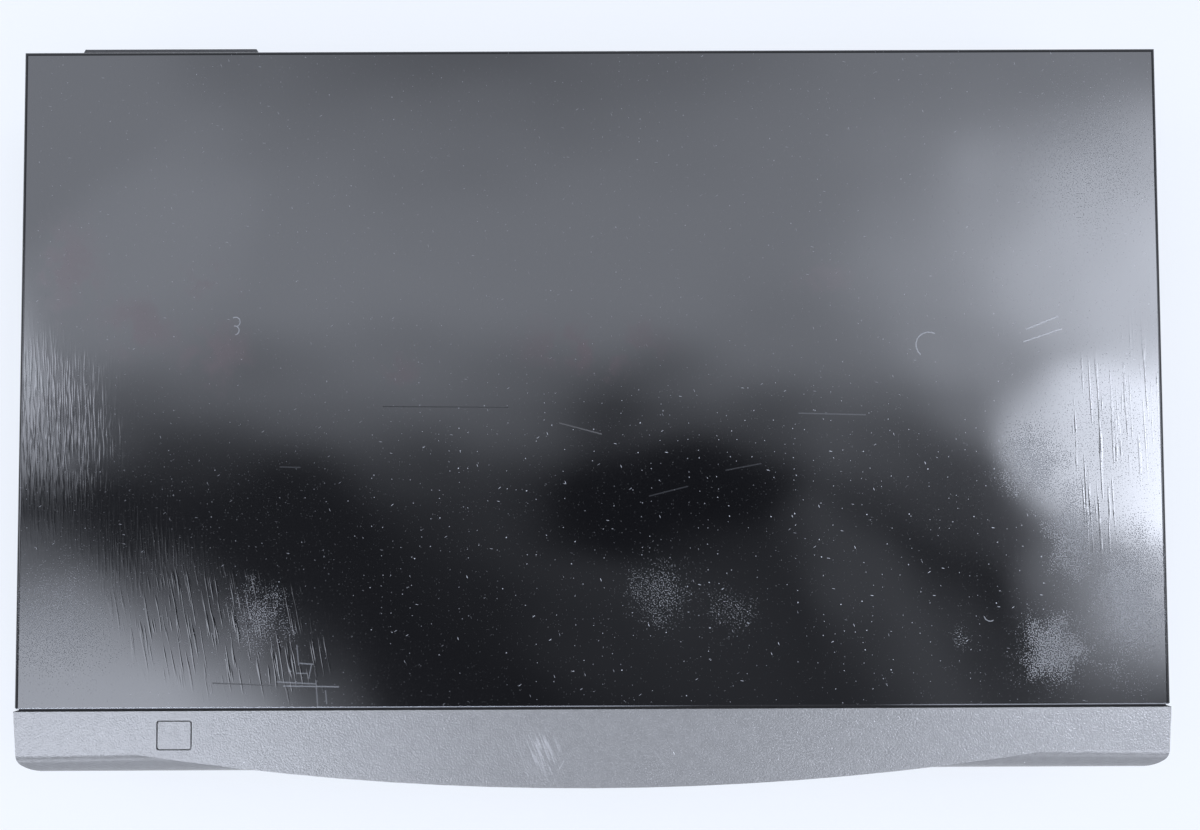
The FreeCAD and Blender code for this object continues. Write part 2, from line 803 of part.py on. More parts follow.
def make_jack_flap():
    left = flap_left + flap_gap
    right = flap_right - flap_gap
    leaf = block(left, right, y_front, y_front + flap_thick, flap_axis_z,
                 flap_high - flap_gap)
    barrel = rod_x(flap_barrel, left, right, flap_axis_y, flap_axis_z)
    pin = rod_x(flap_pin_radius, flap_left - recess_wall + 0.2, flap_right + recess_wall - 0.2,
                flap_axis_y, flap_axis_z)
    pull = block((left + right) / 2 - 8, (left + right) / 2 + 8, y_front - 1.1, y_front + 0.5,
                 flap_high - flap_gap - 1.6, flap_high - flap_gap)
    return fuse(leaf, barrel, pin, pull)


# Chassis base: a moulded tray with side walls, posts, board rests and vent slots

foot_side_set = 30.5
foot_x = base_half - foot_side_set
foot_front_set = 14.0
foot_rear_set = 22.0
foot_top_radius = 14.0
foot_low_radius = 11.5
pad_radius = 9.5
pad_recess = 1.0
post_radius = 4.0
post_set = 5.0
post_front = 7.0
deck_posts = [(side * (deck_half - post_set), y) for side in (-1, 1)
              for y in (deck_front + post_front, deck_rear - post_set)]
rest_half = 2.5
rest_set = 6.0
rest_front = 22.0
board_gap = 3.0
board_side = 5.5
board_end = 2.0
power_board_set = 85.6
main_board_left = -deck_half - board_gap
main_board_right = base_half - board_side
main_board_front = deck_front - board_end
main_board_rear = rear_inner - board_end
power_board_left = -base_half + board_side
power_board_right = main_board_left - board_gap
power_board_front = deck_front + power_board_set

floor_vent_width = 2.4
power_vent_count = 8
power_vent_rows = (14.0, 50.0)
power_vent_start = 9.0
power_vent_end = 4.2
power_vent_length = 28.0
main_vent_count = 10
main_vent_start = 2.0
main_vent_end = 6.0
main_vent_set = 105.6
main_vent_length = 32.0


def foot_places():
    return [(side * foot_x, y) for side in (-1, 1)
            for y in (y_cover + foot_front_set, y_rear - foot_rear_set)]


def board_rest(x, y):
    return block(x - rest_half, x + rest_half, y - rest_half, y + rest_half, floor_top - 1,
                 floor_top + board_stand)


def make_chassis_base():
    floor = block(-base_half, base_half, y_cover, rear_inner, foot_height, floor_top)
    parts = []
    for side in (-1, 1):
        x = side * (base_half - base_wall / 2)
        parts.append(block(x - base_wall / 2, x + base_wall / 2, y_cover + 6, rear_inner,
                           foot_height, floor_top + base_wall_height))
    for x, y in deck_posts:
        parts.append(rod(post_radius, x, y, floor_top - 1, deck_under))
    for x in (main_board_left + rest_set, 0.0, main_board_right - rest_set):
        for y in (main_board_front + rest_front, main_board_rear - rest_set):
            parts.append(board_rest(x, y))
    for x in (power_board_left + rest_set, power_board_right - rest_set):
        for y in (power_board_front + rest_set, main_board_rear - rest_set):
            parts.append(board_rest(x, y))
    base = fuse(floor, *parts)
    tools = []
    span = power_board_right - power_board_left - power_vent_start - power_vent_end
    for row in power_vent_rows:
        for i in range(power_vent_count):
            x = power_board_left + power_vent_start + i * span / power_vent_count
            y = power_board_front + row
            tools.append(block(x, x + floor_vent_width, y, y + power_vent_length,
                               foot_height - 1, floor_top + 1))
    span = main_board_right - deck_half - main_vent_start - main_vent_end
    for i in range(main_vent_count):
        x = deck_half + main_vent_start + i * span / main_vent_count
        y = deck_front + main_vent_set
        tools.append(block(x, x + floor_vent_width, y, y + main_vent_length, foot_height - 1,
                           floor_top + 1))
    for side, y in side_screws():
        tools.append(rod_x(screw_radius + 0.05, -base_half - 1, base_half + 1, y, screw_height))
    return cut(base, *tools)


def make_feet():
    feet = []
    for x, y in foot_places():
        cone = Part.makeCone(foot_low_radius, foot_top_radius, foot_height - pad_recess + 0.2,
                             Vector(x, y, pad_recess - 0.2))
        pocket = rod(pad_radius + 0.2, x, y, 0, pad_height)
        feet.append(cone.cut(pocket))
    return feet


def make_foot_pads():
    return [rod(pad_radius, x, y, 0, pad_height) for x, y in foot_places()]


# Rear panel: steel sheet with the pressed ledge, sockets and vents

ledge_drop = 1.5
ledge_out = 13.0
ledge_in = 3.5
ledge_proud = 4.2
ledge_height = 22.0
ledge_draft = 3.0
ledge_vent_count = 8
ledge_vent_start = 9.0
ledge_vent_end = 4.5
ledge_vent_width = 2.4
ledge_vent_low = 6.0
ledge_vent_high = 5.0
ledge_top = overall_height - cover_lip - ledge_drop
ledge_left = -panel_width / 2 + ledge_out
ledge_right = -deck_half + ledge_in

rear_vent_count = 8
rear_vent_start = 60.0
rear_vent_pitch = 8.0
rear_vent_width = 2.4
rear_vent_drop = 16.0
rear_vent_height = 16.0

rca_in = 23.0
rca_pitch = 18.0
rca_rise = 18.0
rca_reach = 8.5
rca_columns = [deck_half - rca_in - i * rca_pitch for i in (2, 1, 0)]
rca_rows = [foot_height + i * rca_rise for i in (1, 2)]

tuner_out = 9.0
tuner_end = 10.5
tuner_depth = 57.7
tuner_height = 24.0
tuner_left = deck_half + tuner_out
tuner_right = base_half - tuner_end
tuner_front = rear_inner - tuner_depth

aerial_set = 14.0
aerial_rise = 23.0
aerial_radius = 4.75
aerial_collar = 6.2
aerial_hole = 1.4
aerial_places = (tuner_left + aerial_set, tuner_right - aerial_set)
aerial_z = foot_height + aerial_rise

inlet_set = 28.5
inlet_rise = 22.0
inlet_width = 17.0
inlet_height = 9.6
inlet_flange_width = 24.0
inlet_flange_height = 16.0
inlet_depth = 10.0
inlet_x = -base_half + inlet_set
inlet_z = foot_height + inlet_rise

slide_out = 1.0
slide_rise = 23.0
slide_window_width = 8.0
slide_window_height = 4.0
slide_x = deck_half + slide_out
slide_z = foot_height + slide_rise


def ledge_wedge(shrink):
    """The pressed ledge, drawn out from the sheet with sloping sides."""
    x0 = ledge_left + shrink
    x1 = ledge_right - shrink
    z0 = ledge_top - ledge_height + shrink
    z1 = ledge_top - shrink
    y0 = rear_inner - 1 if shrink else rear_inner
    y1 = y_rear + ledge_proud - shrink
    slope = ledge_draft
    return Part.makeWedge(x0, y0, z0, z0 + slope, x0 + slope, x1, y1, z1, z1 - 0.6, x1 - slope)


def make_rear_panel():
    sheet = block(-base_half, base_half, rear_inner, rear_face, foot_height,
                  cover_under - 0.2)
    sheet = fuse(sheet, ledge_wedge(0.0)).cut(ledge_wedge(rear_sheet))
    tools = []
    span = ledge_right - ledge_left - ledge_vent_start - ledge_vent_end
    for i in range(ledge_vent_count):
        x = ledge_left + ledge_vent_start + i * span / ledge_vent_count
        tools.append(block(x, x + ledge_vent_width, y_rear, y_rear + ledge_proud + 1,
                           ledge_top - ledge_height + ledge_vent_low, ledge_top - ledge_vent_high))
    top = overall_height - rear_vent_drop
    for i in range(rear_vent_count):
        x = rear_vent_start + i * rear_vent_pitch
        tools.append(block(x, x + rear_vent_width, rear_inner - 1, rear_face + 1,
                           top - rear_vent_height, top))
    for x in rca_columns:
        for z in rca_rows:
            tools.append(rod_y(barrel_hole + 0.9, x, rear_inner - 1, rear_face + 1, z))
    for x in aerial_places:
        tools.append(rod_y(aerial_collar + 0.3, x, rear_inner - 1, rear_face + 1, aerial_z))
    tools.append(block(slide_x - slide_window_width / 2, slide_x + slide_window_width / 2,
                       rear_inner - 1, rear_face + 1, slide_z - slide_window_height / 2,
                       slide_z + slide_window_height / 2))
    tools.append(block(inlet_x - inlet_flange_width / 2 + 1.5,
                       inlet_x + inlet_flange_width / 2 - 1.5, rear_inner - 1, rear_face + 1,
                       inlet_z - inlet_flange_height / 2 + 1.5,
                       inlet_z + inlet_flange_height / 2 - 1.5))
    for x in rear_screw_places:
        tools.append(rod_y(screw_radius + 0.05, x, rear_inner - 1, rear_face + 1,
                           overall_height - rear_screw_drop))
    return cut(sheet, *tools)


def make_rear_jacks():
    barrels = []
    collars = []
    for z in rca_rows:
        for x in rca_columns:
            barrels.append(jack(x, z, rear_face, rear_face + rca_reach))
            collar = rod_y(barrel_hole + 0.8, x, rear_inner - 3, rear_face, z)
            plug = rod_y(barrel_bore - 0.05, x, rear_face - 0.5, rear_face + rca_reach - 2, z)
            plug = plug.cut(rod_y(jack_hole, x, rear_face + 1, rear_face + rca_reach, z))
            collars.append(fuse(collar, plug))
    body = block(rca_columns[0] - 8, rca_columns[-1] + 8, rear_inner - 13, rear_inner - 3,
                 board_top, rca_rows[-1] + 8)
    return barrels, collars, body


def make_power_inlet():
    flange = rounded_back(inlet_x, inlet_z, inlet_flange_width, inlet_flange_height, 2.0,
                          rear_face, rear_face + 1.2)
    body = block(inlet_x - inlet_flange_width / 2 + 1.8, inlet_x + inlet_flange_width / 2 - 1.8,
                 rear_inner - inlet_depth, rear_face + 0.5,
                 inlet_z - inlet_flange_height / 2 + 1.8,
                 inlet_z + inlet_flange_height / 2 - 1.8)
    cavity = rounded_back(inlet_x, inlet_z, inlet_width, inlet_height, inlet_height / 2 - 0.05,
                          rear_face - inlet_depth + 1.2, rear_face + 3)
    pins = []
    for side in (-1, 1):
        pins.append(rod_y(1.2, inlet_x + side * 4.3, rear_face - inlet_depth,
                          rear_face - 1.0, inlet_z))
    housing = fuse(flange, body).cut(cavity)
    return fuse(housing, *pins)


def make_tuner():
    can = block(tuner_left, tuner_right, tuner_front, rear_inner - 1.0, board_top,
                board_top + tuner_height)
    sockets = []
    for x in aerial_places:
        sockets.append(rod_y(aerial_collar, x, rear_inner - 2.0, rear_face, aerial_z))
        sockets.append(rod_y(aerial_radius, x, rear_face - 0.5, y_connector, aerial_z))
    holes = [rod_y(aerial_hole, x, y_connector - 8, y_connector + 1, aerial_z)
             for x in aerial_places]
    return cut(fuse(can, *sockets), *holes)


def make_slide_switch():
    body = block(slide_x - 7, slide_x + 7, rear_inner - 8, rear_inner, board_top,
                 slide_z + 4.5)
    body = body.cut(block(slide_x - 4, slide_x + 4, rear_inner - 4, rear_inner + 1,
                          slide_z - 1.8, slide_z + 1.8))
    knob = block(slide_x - 3.5, slide_x - 0.5, rear_inner - 3.7, rear_face + 1.4,
                 slide_z - 1.6, slide_z + 1.6)
    return body, knob


# Boards and the parts on them

def make_main_board():
    board = block(main_board_left, main_board_right, main_board_front, main_board_rear,
                  board_top - board_thick, board_top)
    return cut(board, *[rod(post_radius + fit, x, y, floor_top, board_top + 1)
                        for x, y in deck_posts])


def make_power_board():
    return block(power_board_left, power_board_right, power_board_front, main_board_rear,
                 board_top - board_thick, board_top)


heatsink_in = 18.0
heatsink_set = 10.0
heatsink_length = 48.0
heatsink_height = 34.0
heatsink_reach = 12.0
heatsink_back = 2.0
heatsink_fin = 1.5
heatsink_fins = 6
heatsink_end = 0.5
heatsink_rise = 4.0
heatsink_x = power_board_right - heatsink_in

transformer_side = 6.0
transformer_gap = 4.0
transformer_set = 8.0
transformer_depth = 32.0
transformer_height = 28.0
core_limb = 8.0
core_yoke = 6.0
coil_sink = 3.0
coil_lap = 1.0


def make_transformer():
    x0 = power_board_left + transformer_side
    x1 = heatsink_x - transformer_gap
    y0 = power_board_front + transformer_set
    y1 = y0 + transformer_depth
    top = board_top + transformer_height
    core = [
        block(x0, x0 + core_limb, y0, y1, board_top, top),
        block(x1 - core_limb, x1, y0, y1, board_top, top),
        block(x0, x1, y0, y0 + core_yoke, board_top, top),
        block(x0, x1, y1 - core_yoke, y1, board_top, top),
    ]
    coil = block(x0 + core_limb, x1 - core_limb, y0 + core_yoke - coil_lap,
                 y1 - core_yoke + coil_lap, board_top + coil_sink, top - coil_sink)
    return fuse(coil, *core)


def make_heatsink():
    y0 = power_board_front + heatsink_set
    top = board_top + heatsink_height
    fins = [block(heatsink_x, heatsink_x + heatsink_back, y0, y0 + heatsink_length, board_top,
                  top)]
    span = heatsink_length - heatsink_back - heatsink_fin - heatsink_end
    for i in range(heatsink_fins):
        y = y0 + heatsink_back + i * span / (heatsink_fins - 1)
        fins.append(block(heatsink_x + 1, heatsink_x + heatsink_reach, y, y + heatsink_fin,
                          board_top + heatsink_rise, top))
    return fuse(*fins)


# Each one's place across and back, its radius and its height
power_capacitors = ((13.0, 62.0, 11.0, 30.0), (39.0, 78.0, 5.0, 16.0), (39.0, 92.0, 4.0, 12.0))
bay_capacitors = ((15.0, 85.6, 4.0, 10.0), (29.0, 91.6, 4.0, 10.0), (47.0, 87.6, 5.0, 14.0))


def make_capacitors():
    cans = []
    for x, y, radius, height in power_capacitors:
        cans.append(rod(radius, power_board_left + x, power_board_front + y, board_top,
                        board_top + height))
    for x, y, radius, height in bay_capacitors:
        cans.append(rod(radius, deck_half + x, deck_front + y, board_top, board_top + height))
    return cans


# Each one's place across and back, its width and its depth
chip_height = 3.4
bay_chips = ((31.0, 23.6, 38.0, 14.0), (39.0, 55.6, 16.0, 16.0), (33.0, 115.6, 28.0, 10.0))
deck_chips = ((-60.0, 125.6, 30.0, 10.0), (-30.0, 169.6, 14.0, 14.0))


def make_chips():
    places = [(deck_half + x, deck_front + y, w, d) for x, y, w, d in bay_chips]
    places += [(x, deck_front + y, w, d) for x, y, w, d in deck_chips]
    return [block(x - w / 2, x + w / 2, y - d / 2, y + d / 2, board_top, board_top + chip_height)
            for x, y, w, d in places]


# Gears, with straight flanks drawn through the involute's root and tip

def flank_angle(radius, teeth, module):
    pitch = teeth * module / 2
    base = pitch * math.cos(pressure)
    at = math.acos(min(1.0, base / max(radius, base)))
    half = math.pi / (2 * teeth) + (math.tan(pressure) - pressure) - (math.tan(at) - at)
    return half - backlash / 2 / pitch


def gear(teeth, module, thick, phase=0.0):
    """A spur gear about the origin with a tooth centred at the phase angle, in degrees."""
    pitch = teeth * module / 2
    tip = pitch + addendum * module
    root = pitch - dedendum * module
    points = []
    for i in range(teeth):
        middle = math.radians(phase) + 2 * math.pi * i / teeth
        low = flank_angle(root, teeth, module)
        high = flank_angle(tip, teeth, module)
        for radius, angle in ((root, middle - low), (tip, middle - high),
                              (tip, middle + high), (root, middle + low)):
            points.append((radius * math.cos(angle), radius * math.sin(angle), 0))
    return plate(points, Vector(0, 0, thick))


def upright(shape):
    """Turns a shape from about Z to about X, its local X axis becoming +Y and its local Y +Z."""
    shape.rotate(Vector(0, 0, 0), Vector(1, 1, 1), 120)
    return shape


# Deck: plate, brackets and what is carried on them

drum_x = 0.0
drum_split_rise = 17.0
drum_rise = 33.0
drum_tilt = 5.0
drum_hole = 24.0
drum_axle = 2.5
drum_cap_radius = 17.0
drum_cap_height = 6.0
drum_slit = 0.3
drum_split = deck_top + drum_split_rise
drum_top = deck_top + drum_rise

capstan_x = 56.0
capstan_set = 45.0
capstan_radius = 1.5
capstan_high = 26.0
rotor_radius = 23.0
rotor_drop = 3.2
rotor_thick = 5.0
stator_radius = 16.0
stator_bore = 4.0
stator_bush = 4.4
bush_rise = 3.5
belt_room = 3.0
motor_pulley = 6.0
capstan_y = drum_y - capstan_set
rotor_top = deck_under - rotor_drop
rotor_low = rotor_top - rotor_thick
belt_low = rotor_low - belt_room

reel_x = 46.0
reel_set = 53.6
reel_radius = 20.0
reel_post = 1.5
reel_seat_rise = 15.4
reel_y = deck_front + reel_set
reel_seat = deck_top + reel_seat_rise
reel_lift = 0.4
reel_flange_rise = 4.6
reel_hub_radius = 9.0
reel_hub_rise = 7.0
spindle_radius = 5.6
spindle_core = 4.4
spindle_rise = 15.5
spindle_nose = 3.5
spindle_tip = 1.4
spindle_fin = 1.6
spindle_fin_rise = 14.5

clutch_set = 41.6
clutch_y = deck_front + clutch_set
clutch_pulley_radius = 12.0
clutch_shaft = 2.0
sun_radius = 8.0
idler_arm_length = 18.0
idler_gap = 0.05
idler_radius = idler_arm_length - sun_radius - idler_gap
wheel_rise = 1.6
wheel_thick = 3.6
wheel_low = deck_top + wheel_rise
wheel_high = wheel_low + wheel_thick

guide_arc_radius = 46.0
guide_arc_set = 7.0
guide_arc_y = drum_y - guide_arc_set
guide_start = 60.0
guide_sweep = 90.0
guide_slot = 2.6
guide_stud = 2.4
guide_stud_play = 0.3
guide_base_width = 10.0
guide_base_depth = 8.0
guide_lift = 0.2
guide_base_rise = 5.0
guide_washer = 4.2
guide_washer_drop = 1.5
guide_washer_gap = 0.3
guide_post = 1.2
guide_post_rise = 23.0
guide_roller = 3.0
guide_roller_low = 6.0
guide_roller_high = 19.0
guide_rim = 3.6
guide_rim_thick = 1.5

tension_side = 27.0
tension_x = -deck_half + tension_side
tension_set = 26.0
tension_post_x = -56.0
tension_post_set = 43.0
tension_y = drum_y - tension_set
tension_post_y = drum_y - tension_post_set
tension_lift = 0.3
tension_rise = 2.0
tension_ring_rise = 1.5
tension_width = 4.0
tension_tip = 2.6
tension_post = 1.6
arm_ring = 3.6
arm_pivot = 2.0
arm_post_rise = 22.0
tension_post_high = 5.0

pinch_side = 23.0
pinch_x = deck_half - pinch_side
pinch_set = 27.0
pinch_roller_x = 59.1
pinch_roller_set = 24.2
pinch_roller_radius = 7.0
pinch_roller_low = 4.0
pinch_roller_high = 20.0
pinch_lift = 0.8
pinch_rise = 3.0
pinch_barrel_rise = 19.0
pinch_width = 5.0
pinch_tip = 3.5
pinch_axle = 1.2
pinch_y = drum_y - pinch_set
pinch_roller_y = drum_y - pinch_roller_set

audio_x = 60.0
audio_set = 5.0
audio_y = drum_y - audio_set
audio_width = 10.0
audio_depth = 10.0
audio_foot_depth = 12.0
audio_foot_rise = 4.0
audio_stem = 3.0
audio_low = 7.0
audio_high = 21.0
erase_x = -60.0
erase_set = 23.0
erase_y = drum_y - erase_set
erase_width = 8.0
erase_depth = 8.0
erase_foot_width = 9.0
erase_foot_rise = 6.0
erase_high = 20.0

cam_side = 31.0
cam_x = -deck_half + cam_side
cam_set = 9.0
cam_y = drum_y + cam_set
cam_teeth = 44
cam_module = 1.0
cam_pinion_teeth = 12
cam_pinion_angle = -125.0
cam_distance = (cam_teeth + cam_pinion_teeth) * cam_module / 2
motor_x = cam_x + cam_distance * math.cos(math.radians(cam_pinion_angle))
motor_y = cam_y + cam_distance * math.sin(math.radians(cam_pinion_angle))
cam_rise = 1.3
cam_low = deck_top + cam_rise
cam_thick = 4.0
cam_post = 2.0
cam_post_proud = 1.2
cam_track_outer = 15.0
cam_track_inner = 12.0
cam_track_depth = 1.6
cam_foot = 4.0
pinion_shaft = 1.5
pinion_shaft_drop = 0.6
pinion_shaft_rise = 3.0
motor_radius = 12.0
motor_gap = 1.6
motor_can_step = 1.2
bridge_side = 14.0
bridge_end = 13.0
bridge_front = 13.5
bridge_sheet = 1.4
bridge_leg = 1.2
bridge_leg_width = 18.0
bridge_tab_width = 14.0
motor_case_low = 1.0
motor_case_high = 9.0
motor_can_high = 27.0
motor_boss = 3.0
motor_boss_high = 29.0

bracket_front_set = 6.0
bracket_rear_set = 31.0
bracket_front = deck_front + bracket_front_set
bracket_rear = drum_y - bracket_rear_set
rack_module = 0.8
shaft_teeth = 12
shaft_set = 59.0
shaft_drop = 6.5
shaft_y = drum_y - shaft_set
shaft_z = cover_under - shaft_drop
shaft_radius = 2.0
drive_teeth = 40
drive_angle = -55.0
drive_thick = 3.0
drive_set = 1.4
drive_hub = 4.0
drive_hub_length = 5.2
drive_post = 2.0
drive_post_length = 5.6
shaft_overhang = 6.2
shaft_end = 2.0
pinion_set = 0.2
rack_bar_height = 8.8
rack_set = 10.0
rack_spare = 17.0
rack_pitch_z = shaft_z - shaft_teeth * rack_module / 2
rack_bar_low = rack_pitch_z - rack_bar_height
rack_front = deck_front + rack_set
rack_rear = rack_front + in_travel + rack_spare
stud_sets = (20.0, 40.0)
stud_ys = [deck_front + at for at in stud_sets]
stud_rise = 3.6
stud_z = rack_bar_low + stud_rise
stud_radius = 2.0
pin_sets = (16.0, 36.0)
pin_ys = [deck_front + at for at in pin_sets]
pin_rise = 6.0
pin_z = cassette_low + pin_rise
pin_radius = 2.0
shelf_inner = 72.0


def arc_slot(side):
    """The curved slot that a guide's stud runs in, round the point behind the cassette."""
    start = 270 + side * (90 - guide_start)
    slots = []
    outer = sleeve(guide_arc_radius + guide_slot, guide_arc_radius - guide_slot, 0, guide_arc_y,
                   deck_under - 1, deck_top + 1)
    low = min(start, start + side * guide_sweep) - 3
    high = max(start, start + side * guide_sweep) + 3
    reach = 90.0
    wedge_points = [(0, guide_arc_y, deck_under - 2)]
    steps = 6
    for i in range(steps + 1):
        angle = math.radians(low + (high - low) * i / steps)
        wedge_points.append((reach * math.cos(angle), guide_arc_y + reach * math.sin(angle),
                             deck_under - 2))
    wedge = plate(wedge_points, Vector(0, 0, deck_sheet + 4))
    return outer.common(wedge)


def make_deck_plate():
    """The plate with its front flange, and the posts that are riveted into it."""
    sheet = block(-deck_half, deck_half, deck_front, deck_rear, deck_under, deck_top)
    flange = block(-deck_half, deck_half, deck_front, deck_front + deck_sheet,
                   deck_under - deck_flange, deck_top)
    posts = [rod(reel_post, side * reel_x, reel_y, deck_under, reel_seat)
             for side in (-1, 1)]
    posts.append(rod(arm_pivot, pinch_x, pinch_y, deck_under, deck_top + pinch_roller_high))
    posts.append(rod(arm_pivot, tension_x, tension_y, deck_under, deck_top + tension_post_high))
    posts.append(rod(cam_post, cam_x, cam_y, deck_under, cam_low + cam_thick + cam_post_proud))
    tools = [
        *posts,
        rod(drum_hole, drum_x, drum_y, deck_under - 1, deck_top + 1),
        rod(stator_bush + 0.1, capstan_x, capstan_y, deck_under - 1, deck_top + 1),
        rod(clutch_shaft + running, 0, clutch_y, deck_under - 1, deck_top + 1),
        arc_slot(-1),
        arc_slot(1),
    ]
    return [cut(fuse(sheet, flange), *tools), *posts]


def make_bracket(side):
    """Left or right side bracket, with the guide slot, the L-shaped slot and the shaft bearing."""
    x0 = bracket_inner
    x1 = x0 + bracket_sheet
    wall = block(x0, x1, bracket_front, bracket_rear, deck_top, rack_bar_low + 8)
    tower = block(x0, x1, shaft_y - 7, shaft_y + 7, rack_bar_low, shaft_z + 4.2)
    flange = block(x0, x1 + bracket_flange, bracket_front, bracket_rear, deck_top,
                   deck_top + bracket_sheet)
    bracket = fuse(wall, tower, flange)
    guide_low = stud_z - stud_radius - running
    guide_high = stud_z + stud_radius + running
    guide = block(x0 - 1, x1 + 1, stud_ys[0] - stud_radius - 0.5,
                  stud_ys[1] + in_travel + stud_radius + 0.5, guide_low, guide_high)
    path = pin_radius + 0.3
    level = block(x0 - 1, x1 + 1, pin_ys[0] - path, pin_ys[1] + in_travel + path,
                  pin_z - path, pin_z + path)
    tools = [guide, level]
    for y in pin_ys:
        tools.append(block(x0 - 1, x1 + 1, y + in_travel - path, y + in_travel + path,
                           pin_z - drop_travel - path, pin_z))
    tools.append(rod_x(shaft_radius + running, x0 - 1, x1 + 1, shaft_y, shaft_z))
    bracket = cut(bracket, *tools)
    if side > 0:
        stud = drive_centre()
        post = rod_x(drive_post, x1 - 0.5, x1 + drive_post_length, stud[0], stud[1])
        bracket = fuse(bracket, post)
        return bracket
    return mirrored(bracket)


def drive_centre():
    distance = (shaft_teeth + drive_teeth) * rack_module / 2
    angle = math.radians(drive_angle)
    return shaft_y + distance * math.cos(angle), shaft_z + distance * math.sin(angle)


def make_rack(side):
    """Slide with the rack on its top edge, two guide studs and two upright slots for the pins."""
    pitch = math.pi * rack_module
    root = rack_pitch_z - dedendum * rack_module
    tip = rack_pitch_z + addendum * rack_module
    slope = math.tan(pressure)
    wide = pitch / 4 - backlash / 2 + dedendum * rack_module * slope
    narrow = pitch / 4 - backlash / 2 - addendum * rack_module * slope
    first = math.ceil((rack_front + wide - shaft_y) / pitch - 0.5)
    last = math.floor((rack_rear - wide - shaft_y) / pitch - 0.5)
    points = [(0, rack_front, root)]
    for i in range(first, last + 1):
        y = shaft_y + (i + 0.5) * pitch
        points.extend([(0, y - wide, root), (0, y - narrow, tip),
                       (0, y + narrow, tip), (0, y + wide, root)])
    points.extend([(0, rack_rear, root), (0, rack_rear, rack_bar_low),
                   (0, pin_ys[1] + 5.5, rack_bar_low),
                   (0, pin_ys[1] + 5.5, pin_z - drop_travel - 5),
                   (0, pin_ys[0] - 5.5, pin_z - drop_travel - 5),
                   (0, pin_ys[0] - 5.5, rack_bar_low), (0, rack_front, rack_bar_low)])
    rack = plate(points, Vector(rack_thick, 0, 0))
    rack.translate(Vector(rack_inner, 0, 0))
    studs = [rod_x(stud_radius, rack_inner + 0.5, bracket_inner + bracket_sheet + 0.8, y, stud_z)
             for y in stud_ys]
    rack = fuse(rack, *studs)
    slots = []
    for y in pin_ys:
        clear = pin_radius + running
        slots.append(block(rack_inner - 1, rack_inner + rack_thick + 0.3, y - clear, y + clear,
                           pin_z - drop_travel - clear, pin_z + clear))
    rack = cut(rack, *slots)
    return rack if side > 0 else mirrored(rack)


def make_holder():
    outer = holder_half + holder_sheet
    back = holder_back
    top = cassette_top + 0.4
    parts = []
    for side in (-1, 1):
        x0 = min(side * holder_half, side * outer)
        parts.append(block(x0, x0 + holder_sheet, holder_front, back,
                           cassette_low - holder_sheet, top + holder_sheet))
        x0 = min(side * shelf_inner, side * outer)
        parts.append(block(x0, x0 + outer - shelf_inner, holder_front, back,
                           cassette_low - holder_sheet, cassette_low))
        x0 = min(side * (holder_half - 9), side * outer)
        parts.append(block(x0, x0 + outer - holder_half + 9, holder_front + 3, back, top,
                           top + holder_sheet))
        x0 = min(side * (holder_half - 8), side * outer)
        parts.append(block(x0, x0 + outer - holder_half + 8, back - holder_sheet, back,
                           cassette_low - holder_sheet, cassette_low + 9))
        for y in pin_ys:
            x0 = side * (holder_half + 0.4)
            x1 = side * (rack_inner + rack_thick - 0.3)
            parts.append(rod_x(pin_radius, min(x0, x1), max(x0, x1), y, pin_z))
    parts.append(block(-outer, outer, holder_front + 12, back - 8, top, top + holder_sheet))
    return fuse(*parts)


def make_cross_shaft():
    outer = bracket_inner + bracket_sheet
    right = outer + shaft_overhang
    left = -(outer + shaft_end)
    parts = [rod_x(shaft_radius, left, right, shaft_y, shaft_z)]
    pinion = upright(gear(shaft_teeth, rack_module, rack_thick - 2 * pinion_set, -90.0))
    pinion.translate(Vector(rack_inner + pinion_set, shaft_y, shaft_z))
    parts.append(pinion)
    parts.append(mirrored(pinion))
    end = upright(gear(shaft_teeth, rack_module, drive_thick, drive_angle))
    end.translate(Vector(outer + drive_set, shaft_y, shaft_z))
    parts.append(end)
    return fuse(*parts)


def make_drive_gear():
    phase = drive_angle + 180 + 180 / drive_teeth
    outer = bracket_inner + bracket_sheet
    wheel = upright(gear(drive_teeth, rack_module, drive_thick, phase))
    y, z = drive_centre()
    wheel.translate(Vector(outer + drive_set, y, z))
    hub = rod_x(drive_hub, outer + fit, outer + drive_hub_length, y, z)
    wheel = fuse(wheel, hub)
    return wheel.cut(rod_x(drive_post + running, bracket_inner, outer + drive_hub_length + 1, y, z))


def tilted(shape):
    shape.rotate(Vector(drum_x, drum_y, drum_split), Vector(1, 0, 0), drum_tilt)
    return shape


def make_lower_drum():
    base = rod(drum_base_radius, drum_x, drum_y, deck_top, deck_top + 2.5)
    body = tilted(rod(drum_radius - 0.2, drum_x, drum_y, drum_split - 13, drum_split))
    foot = rod(drum_radius - 3, drum_x, drum_y, deck_top + 1, deck_top + 8)
    drum = fuse(base, foot, body)
    axle = tilted(rod(drum_axle, drum_x, drum_y, drum_split - 2, drum_top - 3))
    drum = fuse(drum, axle)
    return drum


def make_upper_drum():
    shoulder = drum_top - drum_cap_height
    body = rod(drum_radius, drum_x, drum_y, drum_split + drum_slit, shoulder)
    cap = rod(drum_cap_radius, drum_x, drum_y, shoulder - 0.5, drum_top)
    upper = fuse(body, cap)
    bore = rod(drum_axle + running, drum_x, drum_y, drum_split - 1, drum_top - 3 + running)
    return tilted(upper.cut(bore))


def make_capstan_stator():
    ring = sleeve(stator_radius, stator_bore, capstan_x, capstan_y, rotor_top + 0.4, deck_under)
    bush = sleeve(stator_bush, capstan_radius + running, capstan_x, capstan_y, rotor_top + 0.4,
                  deck_top + bush_rise)
    return fuse(ring, bush)


